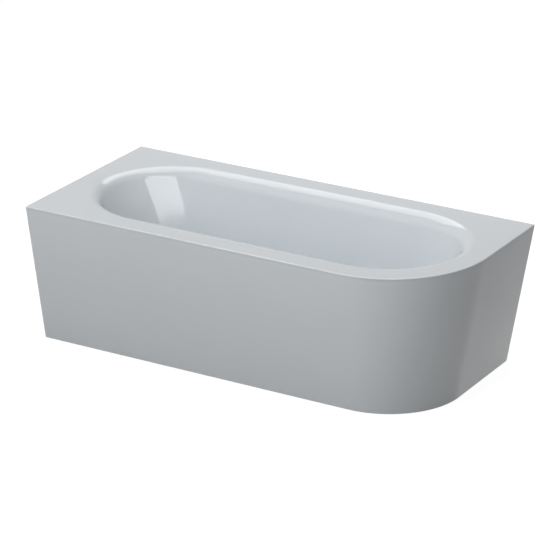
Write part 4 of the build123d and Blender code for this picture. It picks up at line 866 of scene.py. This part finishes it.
def turned_tree():
    """A section turned about its axis, cut to a hexagon, threaded, and set on every place point."""
    sizes = ("Flats", "Turn", "Thread Radius", "Thread Low", "Thread High", "Pitch", "Thread Depth")
    tree, size = size_tree("turned_fastener", sizes, Places="NodeSocketObject",
                           Finish="NodeSocketMaterial")
    circle = add_node(tree, "GeometryNodeCurvePrimitiveCircle",
                      {"Resolution": ROUND_STEPS, "Radius": 1.0})
    upright = add_node(tree, "GeometryNodeSetCurveNormal", {"Curve": circle}, mode="Z_UP")
    turned = add_node(tree, "GeometryNodeCurveToMesh", {"Curve": upright, "Profile Curve": size["Path"]})
    apart = add_node(tree, "ShaderNodeSeparateXYZ", {0: add_node(tree, "GeometryNodeInputPosition")})
    x, y, z = apart.outputs["X"], apart.outputs["Y"], apart.outputs["Z"]
    far = reckon(tree, "SQRT", reckon(tree, "ADD", reckon(tree, "MULTIPLY", x, x),
                                      reckon(tree, "MULTIPLY", y, y)))
    radius = reckon(tree, "SUBTRACT", far, 1.0)
    angle = reckon(tree, "ARCTAN2", y, x)
    within = reckon(tree, "PINGPONG", reckon(tree, "ADD", angle, size["Turn"]), math.pi / 6)
    side = reckon(tree, "DIVIDE", reckon(tree, "MULTIPLY", size["Flats"], 0.5),
                  reckon(tree, "COSINE", within))
    turns = reckon(tree, "DIVIDE", angle, 2 * math.pi)
    phase = reckon(tree, "SUBTRACT", reckon(tree, "DIVIDE", z, size["Pitch"]), turns)
    groove = reckon(tree, "MULTIPLY", reckon(tree, "PINGPONG", phase, 0.5), size["Thread Depth"])
    groove = reckon(tree, "MULTIPLY", groove, 2.0)
    off = reckon(tree, "ABSOLUTE", reckon(tree, "SUBTRACT", radius, size["Thread Radius"]))
    on_thread = reckon(tree, "LESS_THAN", off, THREAD_REACH)
    above = reckon(tree, "GREATER_THAN", z, size["Thread Low"])
    below = reckon(tree, "LESS_THAN", z, size["Thread High"])
    on_thread = reckon(tree, "MULTIPLY", on_thread, reckon(tree, "MULTIPLY", above, below))
    radius = reckon(tree, "SUBTRACT", radius, reckon(tree, "MULTIPLY", groove, on_thread))
    radius = reckon(tree, "MINIMUM", radius, side)
    flat_x = reckon(tree, "MULTIPLY", radius, reckon(tree, "COSINE", angle))
    flat_y = reckon(tree, "MULTIPLY", radius, reckon(tree, "SINE", angle))
    where = add_node(tree, "ShaderNodeCombineXYZ", {0: flat_x, 1: flat_y, 2: z})
    cut = add_node(tree, "GeometryNodeSetPosition", {"Geometry": turned, "Position": where})
    closed = add_node(tree, "GeometryNodeMergeByDistance", {"Geometry": cut, "Distance": MERGE_DISTANCE})
    coated = add_node(tree, "GeometryNodeSetMaterial", {"Geometry": closed, "Material": size["Finish"]})
    places = add_node(tree, "GeometryNodeObjectInfo", {"Object": size["Places"]})
    along = kept_way(tree, "axis")
    turned_to = add_node(tree, "FunctionNodeAlignRotationToVector", {"Vector": along}, axis="Z")
    set_out = add_node(tree, "GeometryNodeInstanceOnPoints", {
        "Points": places.outputs["Geometry"], "Instance": coated, "Rotation": turned_to,
    })
    finish_tree(tree, set_out)
    return tree


def section_path(points, closed=False):
    """A section as (radius, height) pairs, laid out the way the tree turns it."""
    path = path_object("section", [(radius, -height) for radius, height in points])
    path.data.splines[0].use_cyclic_u = closed
    return path


def place_points(places):
    """Points with the axis that each piece stands along."""
    mesh = bpy.data.meshes.new("places")
    mesh.from_pydata([place for place, axis in places], [], [])
    ways = mesh.attributes.new("axis", "FLOAT_VECTOR", "POINT")
    for number, (place, axis) in enumerate(places):
        ways.data[number].vector = axis
    return new_object("places", mesh)


def bevelled_rim(flats, high):
    """The corner line of a hexagon between its two chamfer cones, as (radius, height) pairs."""
    circle = CHAMFER_CIRCLE * flats
    corner = 0.5 * flats / math.cos(math.pi / 6)
    steps = [circle + (corner - circle) * share for share in CHAMFER_STEPS]
    top = [(radius, high - (radius - circle) * CHAMFER_FALL) for radius in steps]
    foot = [(radius, (radius - circle) * CHAMFER_FALL) for radius in steps[::-1]]
    return top, foot


def threaded_rod(radius, low, high, pitch, chamfer):
    """The line down a threaded rod, with a few points to each turn of its thread."""
    length = high - low - 2 * chamfer
    count = int(round(length / pitch * POINTS_PER_TURN))
    return [(radius, high - chamfer - length * step / count) for step in range(count + 1)]


def set_fasteners(name, node, section, places, flats=1.0, thread=None, closed=False):
    """Turns one fastener's section and sets it on all its places, as one mesh with level flats."""
    values = {"Flats": flats, "Thread Radius": 9.0, "Pitch": 1.0, "Finish": plated, **(thread or {})}
    pieces = []
    for turn, lengthwise in ((0.0, True), (math.pi / 6, False)):
        chosen = [(place, axis) for place, axis in places if (abs(axis[0]) > 0.5) == lengthwise]
        if chosen:
            holder = place_points(chosen)
            values.update({"Turn": turn, "Places": holder})
            pieces.append(run_tree(section_path(section, closed), fastener_tree, values, name))
            bpy.data.objects.remove(holder)
    piece = joined(name, pieces)
    close_up(piece)
    smooth_but_creases(piece.data, THREAD_CREASE)
    stands_for(piece, node)


def hex_bolts(name, node, size, head, shank, places):
    """Hexagon bolts: chamfered head above the seat, threaded shank below it."""
    radius, flats, pitch = size["radius"], size["flats"], size["pitch"]
    top = bevelled_rim(flats, head)[0]
    chamfer = TIP_CHAMFER * radius
    section = [(0.0, head)] + top + [(top[-1][0], 0.0), (radius, 0.0)]
    section += threaded_rod(radius, -shank, 0.0, pitch, chamfer)
    section += [(radius - chamfer, -shank), (0.0, -shank)]
    thread = {"Thread Radius": radius, "Thread Low": -shank + 2 * chamfer,
              "Thread High": -PLAIN_SHANK * shank, "Pitch": pitch, "Thread Depth": THREAD_DEPTH * pitch}
    set_fasteners(name, node, section, places, flats, thread)


def hex_nuts(name, node, bore, flats, height, places):
    """Hexagon nuts, chamfered on both faces and at both ends of the bore."""
    top, foot = bevelled_rim(flats, height)
    wide = bore + NUT_MOUTH
    section = top + foot + [(wide, 0.0), (bore, NUT_MOUTH), (bore, height - NUT_MOUTH), (wide, height)]
    set_fasteners(name, node, section, places, flats, closed=True)


def bright_zinc():
    """Plated fastener steel: bright, faintly bluish, with a slightly uneven polish."""
    finish = new_finish("plated_steel", (0.56, 0.58, 0.61), 0.28, metallic=1.0)
    vary_colour(finish, (0.63, 0.64, 0.65), 0.004)
    vary_roughness(finish, 0.20, 0.36, 0.002)
    add_relief(finish, 0.0006, 0.00001)
    return finish


def black_rubber():
    finish = new_finish("black_rubber", (0.020, 0.020, 0.021), 0.62)
    vary_colour(finish, (0.034, 0.034, 0.035), 0.01)
    vary_roughness(finish, 0.52, 0.74, 0.004)
    add_relief(finish, 0.0009, 0.00005)
    return finish


galvanised = zinc_coat()
plated = bright_zinc()
rubber = black_rubber()
fastener_tree = turned_tree()
for node in ("cross_rail_left", "cross_rail_right"):
    softened(node, galvanised, 0.0007)
softened("rail_lugs", galvanised)
softened("rail_pads", rubber, 0.0005)
lug_places = [(side, end * LUG_Y) for side in (-1, 1) for end in (-1, 1)]
lug_faces = [
    ((side * (RAIL_CENTRE + LUG_FACE), y, RAIL_BOLT_LEVEL), (side, 0, 0)) for side, y in lug_places
]
nut_faces = [
    ((side * (RAIL_CENTRE - RAIL_HALF_WIDTH), y, RAIL_BOLT_LEVEL), (-side, 0, 0))
    for side, y in lug_places
]
hex_bolts("rail_bolts_turned", "rail_bolts", LARGE_BOLT, RAIL_BOLT_HEAD, RAIL_BOLT_SHANK, lug_faces)
hex_nuts("rail_nuts_turned", "rail_nuts", LARGE_BOLT["radius"] + NUT_PLAY, LARGE_BOLT["flats"],
         RAIL_NUT_HEIGHT, nut_faces)


# Levelling feet. A threaded stem screws through a nut welded under the rail and is locked by a second
# one. Its lower end stands in a moulded base with a rubber sole.
FOOT_Y = 0.205
STEM_RADIUS = 0.00493
STEM_LOW = 0.007
STEM_HIGH = 0.165
STEM_PITCH = 0.0015
STEM_CHAMFER = 0.001
STEM_PLAIN_FOOT = 0.012
STEM_THREAD_DEPTH = 0.0009
FOOT_NUT_BORE = 0.005
FOOT_NUT_FLATS = 0.017
WELD_NUT_LEVEL = 0.1385
WELD_NUT_HEIGHT = 0.008
LOCK_NUT_LEVEL = 0.1321
LOCK_NUT_HEIGHT = 0.0064
POLISH_SPREAD = 0.06
foot_places = {
    side + "_" + end: (x, y)
    for end, x in (("left", -RAIL_CENTRE), ("right", RAIL_CENTRE))
    for side, y in (("front", -FOOT_Y), ("back", FOOT_Y))
}


def moulded_plastic(name, colour, shade, roughness):
    """Moulded plastic: an even colour with a faint drift and a fine spark-eroded grain."""
    finish = new_finish(name, colour, roughness)
    vary_colour(finish, shade, 0.03)
    vary_roughness(finish, roughness - POLISH_SPREAD, roughness + POLISH_SPREAD, 0.01)
    add_relief(finish, 0.0005, 0.00002)
    return finish


black_plastic = moulded_plastic("black_plastic", (0.026, 0.026, 0.028), (0.034, 0.034, 0.036), 0.42)
thread = {"Thread Radius": STEM_RADIUS, "Thread Low": STEM_LOW + STEM_PLAIN_FOOT,
          "Thread High": STEM_HIGH - STEM_CHAMFER, "Pitch": STEM_PITCH,
          "Thread Depth": STEM_THREAD_DEPTH}
stem_end = STEM_RADIUS - STEM_CHAMFER
stem_section = [(0.0, STEM_HIGH), (stem_end, STEM_HIGH)]
stem_section += threaded_rod(STEM_RADIUS, STEM_LOW, STEM_HIGH, STEM_PITCH, STEM_CHAMFER)
stem_section += [(stem_end, STEM_LOW), (0.0, STEM_LOW)]
for foot, place in foot_places.items():
    stem = "foot_stem_" + foot
    set_fasteners(stem + "_threaded", stem, stem_section, [((*place, 0.0), (0, 0, 1))], thread=thread)
    softened("foot_base_" + foot, black_plastic, 0.0005)
    softened("foot_sole_" + foot, rubber, 0.0008)
for node, height, level in (
    ("foot_weld_nuts", WELD_NUT_HEIGHT, WELD_NUT_LEVEL),
    ("foot_lock_nuts", LOCK_NUT_HEIGHT, LOCK_NUT_LEVEL),
):
    seats = [((*place, level), (0, 0, 1)) for place in foot_places.values()]
    hex_nuts(node + "_turned", node, FOOT_NUT_BORE, FOOT_NUT_FLATS, height, seats)


# Braces and their bolts and screws. Galvanised angles and one long strap, bolted to the rails, hold
# the foot of the apron; a pan-head screw goes down through each into the apron's foot flange.
BRACE_BOLT_FACE = 0.248
END_BOLT_FACE = 0.353
BRACE_NUT_SETBACK = 0.0105
BRACE_NUT_HEIGHT = 0.005
BRACE_BOLT_HEAD = 0.004
BRACE_BOLT_SHANK = 0.0135
SCREW_RADIUS = 0.0020
SCREW_LENGTH = 0.006
SCREW_PITCH = 0.0007
SCREW_TIP = 0.0005
SCREW_CHAMFER = 0.0003
SCREW_THREAD_DEPTH = 0.0004
PAN_HEAD = (
    (0.0, 0.0018), (0.0013, 0.0018), (0.0016, 0.0030), (0.0030, 0.00285), (0.0038, 0.0024),
    (0.0043, 0.0017), (0.0045, 0.0008), (0.0044, 0.0),
)
SCREW_Y = -0.288258
SCREW_X = 0.763258
SCREW_SEAT = 0.007
softened("front_braces", galvanised, 0.0006)
softened("end_brace", galvanised, 0.0006)
bolt_faces = [((x, -BRACE_BOLT_FACE, RAIL_BOLT_LEVEL), (0, -1, 0)) for x in (-RAIL_CENTRE, RAIL_CENTRE)]
bolt_faces.append(((END_BOLT_FACE, 0.0, RAIL_BOLT_LEVEL), (1, 0, 0)))
nut_seats = [
    (tuple(c - BRACE_NUT_SETBACK * a for c, a in zip(place, axis)), axis) for place, axis in bolt_faces
]
hex_bolts("brace_bolts_turned", "brace_bolts", SMALL_BOLT, BRACE_BOLT_HEAD, BRACE_BOLT_SHANK, bolt_faces)
hex_nuts("brace_nuts_turned", "brace_nuts", SMALL_BOLT["radius"] + NUT_PLAY, SMALL_BOLT["flats"],
         BRACE_NUT_HEIGHT, nut_seats)
screw = [*PAN_HEAD, (SCREW_RADIUS, 0.0)]
screw += threaded_rod(SCREW_RADIUS, -SCREW_LENGTH, 0.0, SCREW_PITCH, SCREW_CHAMFER)
screw += [(SCREW_RADIUS - SCREW_TIP, -SCREW_LENGTH), (0.0, -SCREW_LENGTH)]
screw_seats = [((x, SCREW_Y, SCREW_SEAT), (0, 0, 1)) for x in (-RAIL_CENTRE, RAIL_CENTRE)]
screw_seats.append(((SCREW_X, 0.0, SCREW_SEAT), (0, 0, 1)))
thread = {"Thread Radius": SCREW_RADIUS, "Thread Low": SCREW_TIP - SCREW_LENGTH,
          "Thread High": -SCREW_CHAMFER, "Pitch": SCREW_PITCH, "Thread Depth": SCREW_THREAD_DEPTH}
set_fasteners("apron_screws_turned", "apron_screws", screw, screw_seats, thread=thread)


# Wall anchors. A galvanised bracket screwed to the wall hooks behind the shell's turned-down edge; a
# hexagon screw presses a rubber block against the edge and holds it to the wall.
CLAMP_HEAD_OFF_WALL = 0.041
CLAMP_LEVEL = 0.550
CLAMP_HEAD = 0.003
CLAMP_SHANK = 0.024
BACK_ANCHORS = (-0.5, 0.4)
LEFT_ANCHOR = 0.060
softened("wall_anchors", galvanised, 0.0006)
softened("anchor_pads", rubber, 0.0008)
back_line = WIDTH / 2 - CLAMP_HEAD_OFF_WALL
clamp_heads = [((x, back_line, CLAMP_LEVEL), (0, -1, 0)) for x in BACK_ANCHORS]
clamp_heads.append(((-LENGTH / 2 + CLAMP_HEAD_OFF_WALL, LEFT_ANCHOR, CLAMP_LEVEL), (1, 0, 0)))
hex_bolts("clamp_screws_turned", "anchor_clamp_screws", SMALL_BOLT, CLAMP_HEAD, CLAMP_SHANK, clamp_heads)


# Weld beads and earthing lug. The lugs are welded to the shell's underside along three edges and the
# drilled earthing tab along two, with small overlapping ripples. The tab takes the earthing wire.
EARTH_LUG_X = -0.055
EARTH_LUG_Y = 0.080
EARTH_LUG_HALF_WIDTH = 0.012
EARTH_LUG_HALF_SHEET = 0.0015
UNDERSIDE = 0.152
BEAD_RADIUS = 0.0016
BEAD_SINK = 0.6
DROP_SPACING = 0.0013
DROP_SHARES = (0.8, 1.0)
DROP_SEED = 3


def weld_tree():
    """Flattened drops of metal that overlap along a path."""
    tree, size = size_tree("weld_bead", ("Drop Radius", "Drop Spacing"))
    spread = add_node(tree, "GeometryNodeResampleCurve",
                      {"Curve": size["Path"], "Length": size["Drop Spacing"]}, mode="LENGTH")
    drop = add_node(tree, "GeometryNodeMeshIcoSphere", {"Radius": size["Drop Radius"], "Subdivisions": 2})
    dots = add_node(tree, "GeometryNodeCurveToPoints", {"Curve": spread}, mode="EVALUATED")
    small, full = DROP_SHARES
    share = add_node(tree, "FunctionNodeRandomValue", {"Min": small, "Max": full, "Seed": DROP_SEED},
                     data_type="FLOAT")
    row = add_node(tree, "GeometryNodeInstanceOnPoints",
                   {"Points": dots.outputs[0], "Instance": drop, "Scale": share.outputs[1]})
    coated = add_node(tree, "GeometryNodeSetMaterial", {"Geometry": row, "Material": burnt_steel})
    finish_tree(tree, coated)
    return tree


burnt_steel = new_finish("weld_metal", (0.17, 0.165, 0.16), 0.48, metallic=0.8)
vary_colour(burnt_steel, (0.30, 0.27, 0.24), 0.003)
vary_roughness(burnt_steel, 0.38, 0.62, 0.002)
add_relief(burnt_steel, 0.0008, 0.00005)
softened("earth_lug", galvanised)
bead_tree = weld_tree()
runs = []
for side, y in lug_places:
    outer = side * (RAIL_CENTRE + RAIL_HALF_WIDTH + LUG_REACH)
    inner = side * (RAIL_CENTRE + LUG_FACE)
    near, far = y - LUG_HALF_WIDTH, y + LUG_HALF_WIDTH
    runs.append([(inner, near), (outer, near), (outer, far), (inner, far)])
for y in (EARTH_LUG_Y - EARTH_LUG_HALF_SHEET, EARTH_LUG_Y + EARTH_LUG_HALF_SHEET):
    runs.append([(EARTH_LUG_X - EARTH_LUG_HALF_WIDTH, y), (EARTH_LUG_X + EARTH_LUG_HALF_WIDTH, y)])
sizes = {"Drop Radius": BEAD_RADIUS, "Drop Spacing": DROP_SPACING}
bead_level = UNDERSIDE - BEAD_RADIUS * BEAD_SINK
bead_pieces = [run_tree(path_object("bead_path", run, bead_level), bead_tree, sizes, "bead") for run in runs]
weld_beads = joined("weld_beads", bead_pieces)
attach(weld_beads, "bath")


# Waste, plug and lift lever. The flange and the plug are turned brass, chromed; the plug's stem goes
# through the flange's spider and stands on the lever's tip. The body under the floor is moulded.
def bright_chrome():
    """Chrome on brass: mirror bright, with the faint smears that polishing leaves."""
    finish = new_finish("bright_chrome", (0.78, 0.79, 0.80), 0.06, metallic=1.0)
    vary_colour(finish, (0.74, 0.75, 0.765), 0.03)
    vary_roughness(finish, 0.04, 0.10, 0.012)
    add_relief(finish, 0.002, 0.000004)
    return finish


chrome = bright_chrome()
white_plastic = moulded_plastic("white_plastic", (0.74, 0.75, 0.74), (0.70, 0.71, 0.70), 0.36)
grey_plastic = moulded_plastic("grey_plastic", (0.27, 0.28, 0.29), (0.31, 0.32, 0.33), 0.46)
slot_finish = {
    "chrome": chrome, "white_plastic": white_plastic, "grey_plastic": grey_plastic,
    "black_plastic": black_plastic, "rubber": rubber, "fastener_steel": plated,
    "zinc_steel": galvanised,
}
for node in ("waste_flange", "waste_plug"):
    softened(node, chrome, 0.0002)
for node in ("waste_flange_seal", "waste_gasket", "plug_seal"):
    softened(node, rubber, 0.0003)
for node in ("waste_body", "lift_lever", "lever_cover"):
    softened(node, slot_finish[slot_of[node]])


# Trap and outlet. Moulded parts joined by fluted slip nuts; the outlet pipe's free end takes the
# house drain behind the bath.
for node in ("trap_body", "trap_union_nut", "trap_outlet_nut", "outlet_pipe"):
    softened(node, slot_finish[slot_of[node]])


# Overflow. The chromed ring and its rotary knob sit on the front long wall inside the basin. Behind
# the wall a moulded body takes the overflow pipe, and a drum on the knob's shaft winds the cable.
softened("overflow_faceplate", chrome, 0.0002)
softened("overflow_knob", chrome, 0.0003)
softened("overflow_gasket", rubber, 0.0003)
for node in ("overflow_body", "cable_drum", "drum_cover", "overflow_pipe", "overflow_pipe_nuts"):
    softened(node, slot_finish[slot_of[node]])
sheath = new_finish("cable_sheath", (0.030, 0.031, 0.034), 0.38)
vary_colour(sheath, (0.042, 0.043, 0.047), 0.02)
vary_roughness(sheath, 0.30, 0.46, 0.006)
add_relief(sheath, 0.0012, 0.00002)
softened("bowden_cable", sheath, 0.0)


# Studio. A pale floor in white surroundings. Soft boxes in front, on the left, behind and overhead
# light the bath. Two large cards, to the right and over the back, are only mirrored in the enamel.
FLOOR_SIZE = 60.0
AMBIENT = 0.01
AMBIENT_TINT = (0.97, 0.98, 1.0, 1.0)
FLOOR_BOUNCE = 0.28
FLOOR_SHADE = 0.22
FLOOR_GLOW = 0.93


def show(tree, straight, other, out_kind):
    """Shows one shader to the camera, to mirrors and through clear bodies, and another to the rest."""
    nodes, links = tree.nodes, tree.links
    seen_by = nodes.new("ShaderNodeLightPath")
    is_straight = seen_by.outputs["Is Camera Ray"]
    for kind in ("Is Glossy Ray", "Is Transmission Ray"):
        larger = nodes.new("ShaderNodeMath")
        larger.operation = "MAXIMUM"
        links.new(is_straight, larger.inputs[0])
        links.new(seen_by.outputs[kind], larger.inputs[1])
        is_straight = larger.outputs[0]
    choice = nodes.new("ShaderNodeMixShader")
    links.new(is_straight, choice.inputs["Fac"])
    links.new(other.outputs[0], choice.inputs[1])
    links.new(straight.outputs[0], choice.inputs[2])
    out = nodes.new(out_kind)
    links.new(choice.outputs[0], out.inputs["Surface"])


def pale_floor():
    """White to the camera and to mirrors, with the bath's soft shadow, and grey as a light bouncer."""
    finish = bpy.data.materials.new("pale_floor")
    finish.use_nodes = True
    nodes, links = finish.node_tree.nodes, finish.node_tree.links
    nodes.clear()
    shaded = nodes.new("ShaderNodeBsdfDiffuse")
    shaded.inputs["Color"].default_value = (FLOOR_SHADE, FLOOR_SHADE, FLOOR_SHADE, 1.0)
    glow = nodes.new("ShaderNodeEmission")
    glow.inputs["Strength"].default_value = FLOOR_GLOW
    both = nodes.new("ShaderNodeAddShader")
    links.new(shaded.outputs[0], both.inputs[0])
    links.new(glow.outputs[0], both.inputs[1])
    bounce = nodes.new("ShaderNodeBsdfDiffuse")
    bounce.inputs["Color"].default_value = (FLOOR_BOUNCE, FLOOR_BOUNCE, FLOOR_BOUNCE, 1.0)
    show(finish.node_tree, both, bounce, "ShaderNodeOutputMaterial")
    return finish


def surroundings():
    """White to the camera and to mirrors; a weak even light otherwise."""
    world = bpy.data.worlds.new("surroundings")
    bpy.context.scene.world = world
    world.use_nodes = True
    nodes = world.node_tree.nodes
    nodes.clear()
    weak = nodes.new("ShaderNodeBackground")
    weak.inputs["Color"].default_value = AMBIENT_TINT
    weak.inputs["Strength"].default_value = AMBIENT
    white = nodes.new("ShaderNodeBackground")
    white.inputs["Strength"].default_value = 1.0
    show(world.node_tree, white, weak, "ShaderNodeOutputWorld")


def soft_box(name, place, target, width, height, power):
    """A rectangular lamp that looks at a point, hidden from the camera itself."""
    lamp = bpy.data.lights.new(name, "AREA")
    lamp.shape = "RECTANGLE"
    lamp.size = width
    lamp.size_y = height
    lamp.energy = power
    box = new_object(name, lamp)
    way = Vector(target) - Vector(place)
    box.matrix_world = Matrix.Translation(place) @ way.to_track_quat("-Z", "Y").to_matrix().to_4x4()
    box.visible_camera = False
    return box


MIDDLE_OF_BATH = Vector((0.0, 0.0, 0.35))
LAMP_DISTANCE = 9.0
LAMP_SIZE = 4.0
BACK_LIGHT_PLACE = (0.0, 2.0, 1.85)
BACK_LIGHT_WIDTH = 3.5
BACK_LIGHT_HEIGHT = 1.0
BACK_LIGHT_POWER = 17.5
BACK_LIGHT_TARGET = (0.0, 0.0, 0.5)
surroundings()
for lamp_name, way, power in (
    ("camera_side_light", (0.474, -0.797, 0.373), 150.0),
    ("front_light", (0.10, -0.95, 0.35), 100.0),
    ("front_left_light", (-0.35, -0.65, 0.70), 290.0),
    ("overhead_light", (0.0, 0.0, 1.0), 230.0),
    ("left_light", (-0.80, 0.0, 0.60), 63.0),
):
    place = MIDDLE_OF_BATH + LAMP_DISTANCE * Vector(way).normalized()
    light = soft_box(lamp_name, place, MIDDLE_OF_BATH, LAMP_SIZE, LAMP_SIZE, power)
    light.visible_glossy = False
light = soft_box("back_light", BACK_LIGHT_PLACE, BACK_LIGHT_TARGET, BACK_LIGHT_WIDTH,
                 BACK_LIGHT_HEIGHT, BACK_LIGHT_POWER)
light.visible_glossy = False
for card_name, place, target, width, height, power in (
    ("right_card", (1.89, -2.51, 3.10), (0.912, -2.302, 3.10), 3.94, 2.8, 146.0),
    ("over_card", (-1.40, 2.05, 3.57), (-1.40, 2.05, 0.0), 2.8, 4.5, 105.0),
):
    card = soft_box(card_name, place, target, width, height, power)
    card.visible_diffuse = False
floor_mesh = bpy.data.meshes.new("pale_floor")
half = FLOOR_SIZE / 2
floor_mesh.from_pydata(
    [(-half, -half, 0), (half, -half, 0), (half, half, 0), (-half, half, 0)], [], [(0, 1, 2, 3)]
)
floor_mesh.materials.append(pale_floor())
floor_piece = new_object("pale_floor", floor_mesh)
bpy.context.scene.view_settings.view_transform = "Standard"
